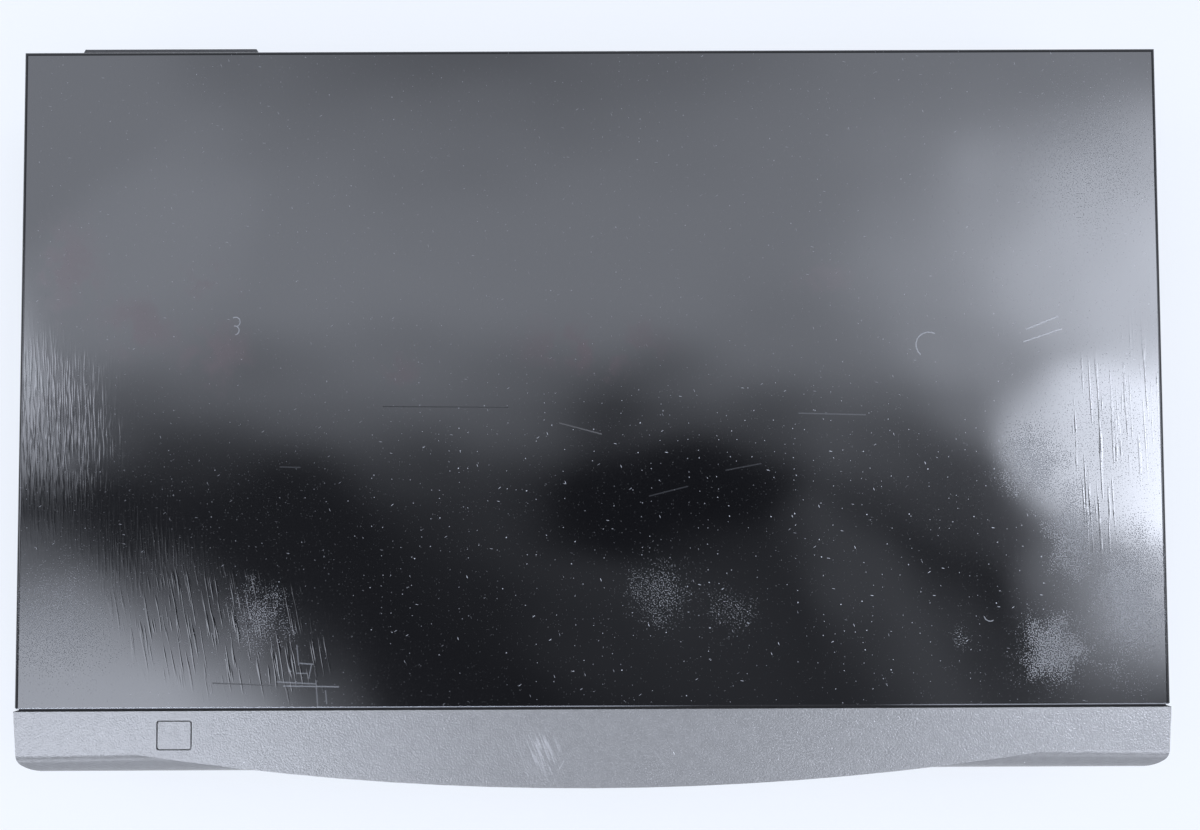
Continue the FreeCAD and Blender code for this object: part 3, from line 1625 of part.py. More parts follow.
def make_capstan():
    rotor = rod(rotor_radius, capstan_x, capstan_y, rotor_low, rotor_top)
    pulley = rod(motor_pulley, capstan_x, capstan_y, belt_low, rotor_low + 0.5)
    shaft = rod(capstan_radius, capstan_x, capstan_y, rotor_low, deck_top + capstan_high)
    return fuse(rotor, pulley, shaft)


def make_reel_belt():
    """Flat belt from the capstan motor's pulley to the reel clutch."""
    gap = 0.3
    thick = 0.8
    z0 = belt_low + 0.4
    z1 = rotor_low - 0.4
    distance = math.hypot(capstan_x, capstan_y - clutch_y)
    along = math.degrees(math.atan2(clutch_y - capstan_y, -capstan_x))

    def loop(extra):
        r1 = motor_pulley + gap + extra
        r2 = clutch_pulley_radius + gap + extra
        lean = math.acos((r1 - r2) / distance)
        up1 = (r1 * math.cos(lean), r1 * math.sin(lean))
        up2 = (distance + r2 * math.cos(lean), r2 * math.sin(lean))
        edges = [
            Part.makeLine(Vector(up1[0], up1[1], 0), Vector(up2[0], up2[1], 0)),
            Part.Arc(Vector(up2[0], up2[1], 0), Vector(distance + r2, 0, 0),
                     Vector(up2[0], -up2[1], 0)).toShape(),
            Part.makeLine(Vector(up2[0], -up2[1], 0), Vector(up1[0], -up1[1], 0)),
            Part.Arc(Vector(up1[0], -up1[1], 0), Vector(-r1, 0, 0),
                     Vector(up1[0], up1[1], 0)).toShape(),
        ]
        return Part.Face(Part.Wire(Part.__sortEdges__(edges)))

    belt = loop(thick).cut(loop(0.0)).extrude(Vector(0, 0, z1 - z0))
    belt.rotate(Vector(0, 0, 0), Vector(0, 0, 1), along)
    belt.translate(Vector(capstan_x, capstan_y, z0))
    return belt


def make_clutch():
    pulley = rod(clutch_pulley_radius, 0, clutch_y, belt_low, rotor_low)
    hub = rod(5.0, 0, clutch_y, belt_low, deck_under - 0.4)
    shaft = rod(clutch_shaft, 0, clutch_y, belt_low, wheel_high + 1.0)
    sun = rod(sun_radius, 0, clutch_y, wheel_low, wheel_high)
    return fuse(pulley, hub, shaft, sun)


def make_idler_arm():
    low = deck_top + 0.2
    high = wheel_low - 0.3
    end_y = clutch_y + idler_arm_length
    ring = rod(4.5, 0, clutch_y, low, high)
    bar = block(-2.2, 2.2, clutch_y, end_y, low, high)
    tip = rod(3.0, 0, end_y, low, high)
    post = rod(1.2, 0, end_y, low, wheel_high + 0.8)
    arm = fuse(ring, bar, tip, post)
    return arm.cut(rod(clutch_shaft + running, 0, clutch_y, low - 1, high + 1))


def make_idler_wheel():
    end_y = clutch_y + idler_arm_length
    return sleeve(idler_radius, 1.2 + running, 0, end_y, wheel_low, wheel_high)


def make_reel(side):
    x = side * reel_x
    flange_top = deck_top + reel_flange_rise
    hub_top = deck_top + reel_hub_rise
    core_top = deck_top + spindle_rise
    flange = rod(reel_radius, x, reel_y, deck_top + reel_lift, flange_top)
    hub = rod(reel_hub_radius, x, reel_y, flange_top - 0.5, hub_top)
    spindle = rod(spindle_core, x, reel_y, hub_top - 0.5, core_top)
    nose = Part.makeCone(spindle_core, spindle_tip, spindle_nose, Vector(x, reel_y, core_top))
    parts = [flange, hub, spindle, nose]
    for i in range(3):
        fin = block(x, x + spindle_radius, reel_y - spindle_fin / 2, reel_y + spindle_fin / 2,
                    hub_top - 0.5, deck_top + spindle_fin_rise)
        parts.append(turned(fin, 90 + 120 * i, x, reel_y))
    reel = fuse(*parts)
    return reel.cut(rod(reel_post + running, x, reel_y, deck_top - 1, reel_seat + running))


def make_guide(side):
    """Base, stud below the plate, post and roller of one loading guide."""
    angle = math.radians(270 + side * (90 - guide_start))
    x = guide_arc_radius * math.cos(angle)
    y = guide_arc_y + guide_arc_radius * math.sin(angle)
    low = deck_top + guide_lift
    under = deck_under - guide_washer_drop
    base = block(x - guide_base_width / 2, x + guide_base_width / 2, y - guide_base_depth / 2,
                 y + guide_base_depth / 2, low, deck_top + guide_base_rise)
    stud = rod(guide_stud - guide_stud_play, x, y, under, low + 1)
    washer = rod(guide_washer, x, y, under, deck_under - guide_washer_gap)
    post = rod(guide_post, x, y, deck_top + guide_base_rise - 1, deck_top + guide_post_rise)
    rim_low = deck_top + guide_roller_high
    roller = rod(guide_roller, x, y, deck_top + guide_roller_low, rim_low)
    rim = rod(guide_rim, x, y, rim_low, rim_low + guide_rim_thick)
    return fuse(base, stud, washer, post, roller, rim)


def swing_arm(x, y, end_x, end_y, width, low, high):
    """The flat bar of an arm, from its pivot to the far end."""
    direction = Vector(end_x - x, end_y - y, 0)
    bar = block(x, x + direction.Length, y - width / 2, y + width / 2, low, high)
    return turned(bar, math.degrees(math.atan2(direction.y, direction.x)), x, y)


def make_tension_arm():
    low = deck_top + tension_lift
    high = deck_top + tension_rise
    ring = rod(arm_ring, tension_x, tension_y, low, high + tension_ring_rise)
    bar = swing_arm(tension_x, tension_y, tension_post_x, tension_post_y, tension_width, low, high)
    tip = rod(tension_tip, tension_post_x, tension_post_y, low, high)
    post = rod(tension_post, tension_post_x, tension_post_y, low, deck_top + arm_post_rise)
    arm = fuse(ring, bar, tip, post)
    return arm.cut(rod(arm_pivot + running, tension_x, tension_y, low - 1,
                       high + tension_ring_rise + 1))


def make_pinch_arm():
    low = deck_top + pinch_lift
    high = deck_top + pinch_rise
    barrel_top = deck_top + pinch_barrel_rise
    barrel = rod(arm_ring, pinch_x, pinch_y, deck_top + tension_lift, barrel_top)
    bar = swing_arm(pinch_x, pinch_y, pinch_roller_x, pinch_roller_y, pinch_width, low, high)
    tip = rod(pinch_tip, pinch_roller_x, pinch_roller_y, low, high)
    axle = rod(pinch_axle, pinch_roller_x, pinch_roller_y, low, deck_top + arm_post_rise)
    arm = fuse(barrel, bar, tip, axle)
    return arm.cut(rod(arm_pivot + running, pinch_x, pinch_y, deck_top - 1, barrel_top + 1))


def make_pinch_roller():
    return sleeve(pinch_roller_radius, pinch_axle + running, pinch_roller_x, pinch_roller_y,
                  deck_top + pinch_roller_low, deck_top + pinch_roller_high)


def make_audio_head():
    """Head on a stem over its foot, the foot set outwards."""
    x0 = audio_x - 0.4 * audio_width
    foot_x0 = audio_x - 0.2 * audio_width
    base = block(foot_x0, foot_x0 + audio_width, audio_y - audio_foot_depth / 2,
                 audio_y + audio_foot_depth / 2, deck_top, deck_top + audio_foot_rise)
    stem = rod(audio_stem, audio_x + 0.4 * audio_width, audio_y, deck_top + audio_foot_rise - 1,
               deck_top + audio_low + 1)
    head = block(x0, x0 + audio_width, audio_y - audio_depth / 2, audio_y + audio_depth / 2,
                 deck_top + audio_low, deck_top + audio_high)
    return fuse(base, stem, head)


def make_erase_head():
    foot_x0 = erase_x - 0.625 * erase_width
    x0 = erase_x - 0.375 * erase_width
    base = block(foot_x0, foot_x0 + erase_foot_width, erase_y - erase_depth / 2,
                 erase_y + erase_depth / 2, deck_top, deck_top + erase_foot_rise)
    head = block(x0, x0 + erase_width, erase_y - erase_depth / 2, erase_y + erase_depth / 2,
                 deck_top + erase_foot_rise - 1, deck_top + erase_high)
    return fuse(base, head)


def make_cam_gear():
    phase = cam_pinion_angle
    wheel = gear(cam_teeth, cam_module, cam_thick, phase)
    wheel.translate(Vector(cam_x, cam_y, cam_low))
    cam_top = cam_low + cam_thick
    bore = rod(cam_post + running, cam_x, cam_y, cam_low - 1, cam_top + 1)
    track = sleeve(cam_track_outer, cam_track_inner, cam_x, cam_y, cam_top - cam_track_depth,
                   cam_top + 1)
    foot = sleeve(cam_foot, cam_post + running, cam_x, cam_y, deck_top + guide_lift, cam_low + 0.5)
    return fuse(wheel.cut(bore).cut(track), foot)


def make_loading_pinion():
    phase = cam_pinion_angle + 180 + 180 / cam_pinion_teeth
    wheel = gear(cam_pinion_teeth, cam_module, cam_thick, phase)
    wheel.translate(Vector(motor_x, motor_y, cam_low))
    shaft = rod(pinion_shaft, motor_x, motor_y, cam_low - pinion_shaft_drop,
                cam_low + cam_thick + pinion_shaft_rise)
    return fuse(wheel, shaft)


def make_loading_motor():
    """Small motor with its gear case, on a bridge over the pinion."""
    low = cam_low + cam_thick + motor_gap
    x0 = motor_x - bridge_side
    y0 = motor_y - bridge_front
    leg_top = low + bridge_sheet / 2
    bridge = block(x0, motor_x + bridge_end, y0, motor_y + bridge_end, low, low + bridge_sheet)
    left = block(x0, x0 + bridge_leg, motor_y - bridge_leg_width / 2,
                 motor_y + bridge_leg_width / 2, deck_top, leg_top)
    front = block(motor_x - bridge_tab_width / 2, motor_x + bridge_tab_width / 2, y0,
                  y0 + bridge_leg, deck_top, leg_top)
    case_top = low + motor_case_high
    can_top = low + motor_can_high
    case = rod(motor_radius, motor_x, motor_y, low + motor_case_low, case_top)
    can = rod(motor_radius - motor_can_step, motor_x, motor_y, case_top - 1, can_top)
    boss = rod(motor_boss, motor_x, motor_y, can_top - 1, low + motor_boss_high)
    motor = fuse(bridge, left, front, case, can, boss)
    shaft_top = cam_low + cam_thick + pinion_shaft_rise + 0.4
    return motor.cut(rod(pinion_shaft + running, motor_x, motor_y, low - 1, shaft_top))


# All the pieces

save("top_cover", make_top_cover())
save("cover_screws", *make_cover_screws())
save("front_panel", make_front_panel())
make_front_keys()
save("top_key", make_top_key())
save("front_board_parts", *make_key_switches(), make_receiver(), make_display_holder())
save("display_tube", make_display_tube())
save("display_window", make_display_window())
save("infrared_lens", make_lens())
save("cassette_door", make_cassette_door())
save("door_spring", make_door_spring())
save("jack_flap", make_jack_flap())
front_sleeves, front_bodies = make_front_jacks()
rear_sleeves, rear_bodies, rear_block = make_rear_jacks()
save("jack_sleeves", *front_sleeves, *rear_sleeves)
save("jack_insulators", *front_bodies, *rear_bodies, rear_block)
save("chassis_base", make_chassis_base())
save("feet", *make_feet())
save("foot_pads", *make_foot_pads())
save("rear_panel", make_rear_panel())
save("power_inlet", make_power_inlet())
save("tuner", make_tuner())
switch_case, switch_knob = make_slide_switch()
save("channel_switch_knob", switch_knob)
save("circuit_boards", make_main_board(), make_power_board(), make_front_board())
save("board_components", *make_capacitors(), *make_chips(), switch_case)
save("transformer", make_transformer())
save("heatsink", make_heatsink())
save("deck_plate", *make_deck_plate())
save("side_brackets", make_bracket(-1), make_bracket(1))
save("rack_slides", make_rack(-1), make_rack(1))
save("cassette_holder", make_holder())
save("cross_shaft", make_cross_shaft())
save("drive_gear", make_drive_gear())
save("lower_drum", make_lower_drum())
save("upper_drum", make_upper_drum())
save("capstan_stator", make_capstan_stator())
save("capstan", make_capstan())
save("reel_belt", make_reel_belt())
save("reel_clutch", make_clutch())
save("idler_arm", make_idler_arm())
save("idler_wheel", make_idler_wheel())
save("supply_reel", make_reel(-1))
save("takeup_reel", make_reel(1))
save("supply_guide", make_guide(-1))
save("takeup_guide", make_guide(1))
save("tension_arm", make_tension_arm())
save("pinch_arm", make_pinch_arm())
save("pinch_roller", make_pinch_roller())
save("tape_heads", make_audio_head(), make_erase_head())
save("cam_gear", make_cam_gear())
save("loading_pinion", make_loading_pinion())
save("loading_motor", make_loading_motor())
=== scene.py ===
import math

import bmesh
import bpy
from mathutils import Matrix, Vector


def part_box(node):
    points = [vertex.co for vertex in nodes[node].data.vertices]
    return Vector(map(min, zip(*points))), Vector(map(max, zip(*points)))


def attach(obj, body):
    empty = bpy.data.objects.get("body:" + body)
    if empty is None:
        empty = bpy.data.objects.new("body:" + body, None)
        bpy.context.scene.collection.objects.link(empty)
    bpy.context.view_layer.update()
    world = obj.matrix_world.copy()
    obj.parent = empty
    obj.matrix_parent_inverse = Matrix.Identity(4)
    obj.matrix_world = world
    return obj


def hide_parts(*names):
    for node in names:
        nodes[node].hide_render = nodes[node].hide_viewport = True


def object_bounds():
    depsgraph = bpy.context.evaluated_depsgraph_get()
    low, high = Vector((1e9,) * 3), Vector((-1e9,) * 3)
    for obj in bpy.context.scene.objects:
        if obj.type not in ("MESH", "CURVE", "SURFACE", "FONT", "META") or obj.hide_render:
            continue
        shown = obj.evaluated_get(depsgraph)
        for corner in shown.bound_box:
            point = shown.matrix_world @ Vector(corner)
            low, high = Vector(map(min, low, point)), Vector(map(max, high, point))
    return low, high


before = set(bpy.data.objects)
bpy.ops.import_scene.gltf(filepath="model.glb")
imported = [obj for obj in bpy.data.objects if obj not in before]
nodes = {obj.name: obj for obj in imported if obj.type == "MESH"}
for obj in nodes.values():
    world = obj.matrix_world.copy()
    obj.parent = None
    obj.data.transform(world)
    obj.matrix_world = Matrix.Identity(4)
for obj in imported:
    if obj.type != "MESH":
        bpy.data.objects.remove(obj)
cad_low, cad_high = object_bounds()
bpy.context.scene.view_settings.view_transform = "Standard"

MM = 0.001


def tone(code):
    """An sRGB hex colour as the linear values that a shader takes."""
    parts = [int(code[i:i + 2], 16) / 255 for i in (1, 3, 5)]
    return [p / 12.92 if p <= 0.04045 else ((p + 0.055) / 1.055) ** 2.4 for p in parts] + [1.0]


def add(material, kind, inputs=None, **settings):
    """Adds a node. Settings are the node's own. Inputs are values, sockets, or nodes whose first
    output feeds them."""
    tree = material.node_tree
    made = tree.nodes.new(kind)
    for name, value in settings.items():
        setattr(made, name, value)
    for place, value in (inputs or {}).items():
        if isinstance(value, bpy.types.Node):
            value = value.outputs[0]
        if isinstance(value, bpy.types.NodeSocket):
            tree.links.new(value, made.inputs[place])
        else:
            made.inputs[place].default_value = value
    return made


def feed(material, source, socket):
    """Links a node's first output, or a socket, to a shader's own input."""
    if isinstance(source, bpy.types.Node):
        source = source.outputs[0]
    material.node_tree.links.new(source, socket)


def finish_of(name, colour, roughness, metallic=0.0, ior=None):
    """A new material with its shader and the place of each point in the part's own frame."""
    material = bpy.data.materials.new(name)
    material.use_nodes = True
    shader = material.node_tree.nodes["Principled BSDF"]
    shader.inputs["Base Color"].default_value = tone(colour)
    shader.inputs["Roughness"].default_value = roughness
    shader.inputs["Metallic"].default_value = metallic
    if ior:
        shader.inputs["IOR"].default_value = ior
    place = add(material, "ShaderNodeTexCoord").outputs["Object"]
    return material, shader, place


def flattened(material, place):
    """The place seen from above, so that a mark has no height of its own."""
    return add(material, "ShaderNodeVectorMath", {0: place, 1: (1, 1, 0)},
               operation="MULTIPLY").outputs[0]


def grained(material, shader, place, grain, depth, spread=0.0, stretch=(1, 1, 1)):
    """Surface grain of one size in millimetres. Its spread also varies the roughness, which is
    given back."""
    scaled = add(material, "ShaderNodeMapping", {"Vector": place, "Scale": stretch})
    noise = add(material, "ShaderNodeTexNoise",
                {"Vector": scaled, "Scale": 1 / (grain * MM), "Detail": 2.0})
    bump = add(material, "ShaderNodeBump",
               {"Height": noise, "Strength": 1.0, "Distance": depth * MM})
    feed(material, bump, shader.inputs["Normal"])
    if spread:
        base = shader.inputs["Roughness"].default_value
        change = add(material, "ShaderNodeMapRange",
                     {"Value": noise, "From Min": 0.3, "From Max": 0.7,
                      "To Min": base - spread, "To Max": base + spread})
        feed(material, change, shader.inputs["Roughness"])
        return change


def mottled(material, shader, place, size, light, dark):
    """Slow change between two shades, as dirt and handling leave them."""
    noise = add(material, "ShaderNodeTexNoise",
                {"Vector": place, "Scale": 1 / (size * MM), "Detail": 4.0, "Roughness": 0.6})
    share = add(material, "ShaderNodeMapRange",
                {"Value": noise, "From Min": 0.35, "From Max": 0.65},
                interpolation_type="SMOOTHSTEP")
    shade = add(material, "ShaderNodeMix", {0: share, 6: tone(dark), 7: tone(light)},
                data_type="RGBA").outputs[2]
    feed(material, shade, shader.inputs["Base Color"])


# Camera, from the edges and corners that the photograph shows
camera = bpy.data.objects.new("camera", bpy.data.cameras.new("camera"))
bpy.context.scene.collection.objects.link(camera)
camera.location = (0.0013, -0.0384, 0.640)
camera.rotation_euler = [math.radians(a) for a in (3.55, -0.125, -0.245)]
camera.data.lens = 52.3
camera.data.sensor_width = 36
camera.data.clip_start = 0.01
bpy.context.scene.camera = camera


# Pale floor and soft light
FLOOR_REACH = 12.0
FLOOR_LIFT = 0.85
WALL_LEVEL = 0.38
WALL_SEEN = 0.98
CEILING_LEVEL = 0.12
REAR_LEVEL = 4.25

# glows: centre and half sizes as slopes off the upright, level, turn, and share that doesn't fade
CEILING_GLOWS = [
    ((-0.075, 0.33), (0.28, 0.16), -2.1, -5.0, 0.18),
    ((0.41, 0.13), (0.31, 0.17), 12.8, -6.0, 0.0),
    ((0.38, 0.037), (0.165, 0.07), 16.0, -5.0, 0.6),
    ((0.36, 0.006), (0.1, 0.18), 12.5, -41.0, 0.0),
    ((-0.307, -0.187), (0.27, 0.187), 9.5, -23.0, 0.48),
    ((-0.355, 0.08), (0.06, 0.09), 10.4, 26.0, 0.0),
    ((0.176, -0.064), (0.047, 0.28), 1.0, 35.0, 0.05),
    ((-0.036, 0.02), (0.105, 0.4), 0.5, 50.0, 0.05),
    ((0.05, 0.035), (0.12, 0.065), -1.1, 18.0, 0.3),
    ((-0.29, 0.13), (0.15, 0.064), 0.75, 42.0, 0.37),
    ((0.243, 0.016), (0.228, 0.061), 0.76, -27.0, 0.3),
    ((0.37, -0.03), (0.07, 0.075), 5.0, 0.0, 0.3),
    ((0.36, -0.33), (0.34, 0.19), 8.5, 0.0, 0.6),
    ((-0.7, -0.95), (0.7, 0.45), 4.5, -20.0, 0.3),
    ((0.7, -0.95), (0.7, 0.45), 3.5, 20.0, 0.3),
    ((-1.1, 0.06), (0.5, 0.2), 9.0, 0.0, 0.3),
    ((1.15, 0.05), (0.5, 0.25), 7.0, 0.0, 0.3),
]


def seen_directly(owner):
    """1 where the camera looks or metal and glass mirror, and 0 for light that falls on things."""
    paths = add(owner, "ShaderNodeLightPath")
    mirrored = add(owner, "ShaderNodeMath",
                   {0: paths.outputs["Is Glossy Ray"], 1: paths.outputs["Is Transmission Ray"]},
                   operation="MAXIMUM")
    return add(owner, "ShaderNodeMath", {0: paths.outputs["Is Camera Ray"], 1: mirrored},
               operation="MAXIMUM")


def make_floor():
    """White paper. The camera, metal and glass see it nearly as bright as it is, shadows and all."""
    material, shader, place = finish_of("white_paper_floor", "#f6f8fb", 0.9)
    grained(material, shader, place, 0.4, 0.02)
    lifted = add(material, "ShaderNodeMath", {0: seen_directly(material), 1: FLOOR_LIFT},
                 operation="MULTIPLY")
    glow = add(material, "ShaderNodeEmission", {"Color": tone("#e9eef6"), "Strength": 1.0})
    mixed = add(material, "ShaderNodeMixShader", {0: lifted, 1: shader, 2: glow})
    feed(material, mixed, material.node_tree.nodes["Material Output"].inputs["Surface"])
    mesh = bpy.data.meshes.new("floor")
    corners = [(x * FLOOR_REACH, y * FLOOR_REACH, cad_low[2])
               for x, y in ((-1, -1), (1, -1), (1, 1), (-1, 1))]
    mesh.from_pydata(corners, [], [(0, 1, 2, 3)])
    floor = bpy.data.objects.new("floor", mesh)
    bpy.context.scene.collection.objects.link(floor)
    mesh.materials.append(material)


def sky_glow(studio, slope, centre, half, level, turn=0.0, core=0.35):
    """A soft oval patch of the room's ceiling, brighter or dimmer than the rest."""
    local = add(studio, "ShaderNodeMapping",
                {"Vector": slope, "Location": (*centre, 0), "Scale": (*half, 1),
                 "Rotation": (0, 0, math.radians(turn))}, vector_type="TEXTURE")
    far = add(studio, "ShaderNodeVectorMath", {0: local}, operation="LENGTH")
    return add(studio, "ShaderNodeMapRange",
               {"Value": far.outputs["Value"], "From Min": core, "From Max": 1.0,
                "To Min": level, "To Max": 0.0}, interpolation_type="SMOOTHSTEP")


def make_studio():
    """Pale walls all round, which the camera, metal and glass see nearly white, and a dim ceiling
    with a wide bright band over the rear and soft glows on it."""
    studio = bpy.data.worlds.new("studio")
    bpy.context.scene.world = studio
    studio.use_nodes = True
    background = studio.node_tree.nodes["Background"]
    background.inputs["Color"].default_value = tone("#ebf1ff")
    toward = add(studio, "ShaderNodeTexCoord").outputs["Generated"]
    parts = add(studio, "ShaderNodeSeparateXYZ", {0: toward})
    height = add(studio, "ShaderNodeMath", {0: parts.outputs[2], 1: 0.05}, operation="MAXIMUM")
    slope_x = add(studio, "ShaderNodeMath", {0: parts.outputs[0], 1: height}, operation="DIVIDE")
    slope_y = add(studio, "ShaderNodeMath", {0: parts.outputs[1], 1: height}, operation="DIVIDE")
    slope = add(studio, "ShaderNodeCombineXYZ", {0: slope_x, 1: slope_y})
    walls = add(studio, "ShaderNodeMapRange",
                {"Value": parts.outputs[2], "From Min": 0.6, "From Max": 0.9,
                 "To Min": WALL_LEVEL, "To Max": CEILING_LEVEL},
                interpolation_type="SMOOTHSTEP")
    rear = add(studio, "ShaderNodeMapRange",
               {"Value": slope_y, "From Min": 0.01, "From Max": 0.138,
                "To Min": 0.0, "To Max": REAR_LEVEL}, interpolation_type="SMOOTHSTEP")
    rear_end = add(studio, "ShaderNodeMapRange",
                   {"Value": slope_y, "From Min": 0.3, "From Max": 0.8,
                    "To Min": 1.0, "To Max": 0.0}, interpolation_type="SMOOTHSTEP")
    aside = add(studio, "ShaderNodeMath", {0: slope_x}, operation="ABSOLUTE")
    side_end = add(studio, "ShaderNodeMapRange",
                   {"Value": aside, "From Min": 0.4, "From Max": 0.7,
                    "To Min": 1.0, "To Max": 0.0}, interpolation_type="SMOOTHSTEP")
    band = add(studio, "ShaderNodeMath", {0: rear, 1: rear_end}, operation="MULTIPLY")
    total = add(studio, "ShaderNodeMath", {0: band, 1: side_end, 2: walls},
                operation="MULTIPLY_ADD")
    for glow in CEILING_GLOWS:
        total = add(studio, "ShaderNodeMath", {0: total, 1: sky_glow(studio, slope, *glow)})
    above = add(studio, "ShaderNodeMath", {0: total, 1: 0.02}, operation="MAXIMUM")
    pale = add(studio, "ShaderNodeMapRange",
               {"Value": parts.outputs[2], "From Min": 0.5, "From Max": 0.85,
                "To Min": WALL_SEEN, "To Max": 0.0}, interpolation_type="SMOOTHSTEP")
    lifted = add(studio, "ShaderNodeMath", {0: seen_directly(studio), 1: pale},
                 operation="MULTIPLY")
    shown = add(studio, "ShaderNodeMath", {0: above, 1: lifted}, operation="MAXIMUM")
    feed(studio, shown, background.inputs["Strength"])


make_floor()
make_studio()


# Marks on the cover's top, in millimetres in the part's frame
COVER_TOP = 93
RIM_LINE = -94.98

# ovals: centre, half sizes, strength
RUBBED_PATCHES = [
    ((21, -60), (17, 16), 0.55), ((43, -66), (12, 13), 0.45), ((114, -75), (8, 9), 0.55),
    ((-104, -68), (14, 18), 0.75), ((144, -78), (19, 20), 1.0), ((168, -62), (22, 38), 1.0),
    ((138, -19), (17, 20), 0.95), ((151, -43), (15, 30), 0.9), ((160, -12), (34, 46), 0.3),
    ((158, 78), (34, 40), 0.45), ((-168, -68), (32, 28), 0.7),
]
STAINS = [
    ((-165, 42), (16, 24), 1), ((-142, 24), (20, 14), 1), ((-118, 16), (16, 14), 1),
    ((0, 17), (34, 12), 1), ((-60, 10), (9, 7), 0.7), ((-120, 40), (10, 10), 0.7),
    ((74, 38), (14, 12), 0.5),
]
SLID_ZONE = [((-118, -70), (40, 24), 1), ((-98, -82), (24, 12), 1)]
BRUSHED_ZONE = [((-168, -12), (30, 44), 1), ((-140, -40), (34, 26), 0.6)]
DENTED_ZONE = [((158, -18), (9, 38), 1), ((172, 0), (8, 30), 0.6)]
# the front rim's strip is a painted highlight along its edge
RIM_HIGHLIGHT = [((-130, -95), (170, 9), 0.9), ((165, -95), (80, 9), 0.5)]
DUSTY_ZONE = [((50, -45), (170, 66), 1)]

# strokes: zone, turn in degrees, width, length, noise at which they start and are full, depth
STROKES = ((SLID_ZONE, 10, 0.9, 14, 0.57, 0.8, 0.025),
           (BRUSHED_ZONE, 2, 0.7, 9, 0.4, 0.8, 0.012),
           (DENTED_ZONE, 2, 1.1, 30, 0.55, 0.7, 0.02))

# scratches: start, end, strength
PALE_SCRATCHES = [
    ((-97.6, -20.4), (-91.3, -20.6), 0.04), ((65, -4.2), (86, -4.8), 0.06),
    ((42, -22), (53, -20), 0.04), ((18, -30), (30, -27), 0.04),
    ((137, 22), (147, 26), 0.18), ((136, 18), (148, 22), 0.18),
    ((-96, -88.5), (-79, -88.8), 0.16), ((-98, -87.2), (-86, -87.9), 0.14),
    ((-92, -76), (-91.4, -82), 0.12), ((-91, -81.5), (-87, -81.8), 0.16),
    ((-87.4, -82), (-88.2, -86), 0.12), ((-92, -84.6), (-89, -84.6), 0.12),
    ((-86, -87), (-85.4, -95), 0.1), ((-83, -90), (-82.6, -94), 0.1),
]
DARK_SCRATCHES = [((-65.4, -1.6), (-26.2, -2.0), 0.9), ((-10, -7), (3, -10.5), 0.4),
                  ((-118, -87.5), (-99, -88.3), 0.4)]

# hairs: centre, radius, first and last bearing
HAIRS = [((106.2, 17.2), 4.0, 60, 230), ((-112.0, 25.3), 1.5, -70, 120),
         ((-112.2, 22.6), 1.4, -80, 100), ((124, -67.5), 1.9, 190, 300)]


def largest(material, values):
    """The largest of some values, so that marks that overlap don't add up."""
    total = values[0]
    for value in values[1:]:
        total = add(material, "ShaderNodeMath", {0: total, 1: value}, operation="MAXIMUM")
    return total


def zone(material, flat, marks, core=0.1):
    """How far a point lies inside any of some oval marks, from 0 to the mark's own strength."""
    inside = []
    for (x, y), (half_x, half_y), strength in marks:
        local = add(material, "ShaderNodeMapping",
                    {"Vector": flat, "Location": (x * MM, y * MM, 0),
                     "Scale": (half_x * MM, half_y * MM, 1)}, vector_type="TEXTURE")
        far = add(material, "ShaderNodeVectorMath", {0: local}, operation="LENGTH")
        inside.append(add(material, "ShaderNodeMapRange",
                          {"Value": far.outputs["Value"], "From Min": core, "From Max": 1.0,
                           "To Min": strength, "To Max": 0.0},
                          interpolation_type="SMOOTHSTEP"))
    return largest(material, inside)


def streaks(material, place, turn, wide, long, low, high):
    """Narrow marks that all run one way, wide and long in millimetres."""
    turned = add(material, "ShaderNodeMapping",
                 {"Vector": place, "Rotation": (0, 0, math.radians(turn)),
                  "Scale": (wide * MM, long * MM, 1)}, vector_type="TEXTURE")
    noise = add(material, "ShaderNodeTexNoise", {"Vector": turned, "Scale": 1.0, "Detail": 1.0},
                noise_dimensions="2D")
    return add(material, "ShaderNodeMapRange",
               {"Value": noise, "From Min": low, "From Max": high},
               interpolation_type="SMOOTHSTEP")


def line_mark(material, flat, start, end, strength, wide=0.3):
    """A thin straight mark from start to end."""
    a = Vector((start[0] * MM, start[1] * MM, 0))
    along = Vector((end[0] * MM, end[1] * MM, 0)) - a
    offset = add(material, "ShaderNodeVectorMath", {0: flat, 1: a}, operation="SUBTRACT")
    dot = add(material, "ShaderNodeVectorMath", {0: offset, 1: along / along.length_squared},
              operation="DOT_PRODUCT")
    share = add(material, "ShaderNodeClamp", {0: dot.outputs["Value"]})
    foot = add(material, "ShaderNodeVectorMath", {0: along, "Scale": share}, operation="SCALE")
    far = add(material, "ShaderNodeVectorMath", {0: offset, 1: foot}, operation="DISTANCE")
    return add(material, "ShaderNodeMapRange",
               {"Value": far.outputs["Value"], "From Min": wide * MM * 0.25,
                "From Max": wide * MM, "To Min": strength, "To Max": 0.0})


def arc_mark(material, flat, centre, radius, start, end, wide=0.16):
    """A thin mark along part of a circle, from one bearing to another."""
    offset = add(material, "ShaderNodeVectorMath",
                 {0: flat, 1: (centre[0] * MM, centre[1] * MM, 0)}, operation="SUBTRACT")
    far = add(material, "ShaderNodeVectorMath", {0: offset}, operation="LENGTH")
    ring = add(material, "ShaderNodeMath",
               {0: far.outputs["Value"], 1: radius * MM, 2: wide * MM}, operation="COMPARE")
    middle = math.radians((start + end) / 2)
    limit = math.cos(math.radians((end - start) / 2)) * radius * MM
    reach = add(material, "ShaderNodeVectorMath",
                {0: offset, 1: (math.cos(middle), math.sin(middle), 0)}, operation="DOT_PRODUCT")
    near = add(material, "ShaderNodeMath", {0: reach.outputs["Value"], 1: limit},
               operation="GREATER_THAN")
    return add(material, "ShaderNodeMath", {0: ring, 1: near}, operation="MULTIPLY")


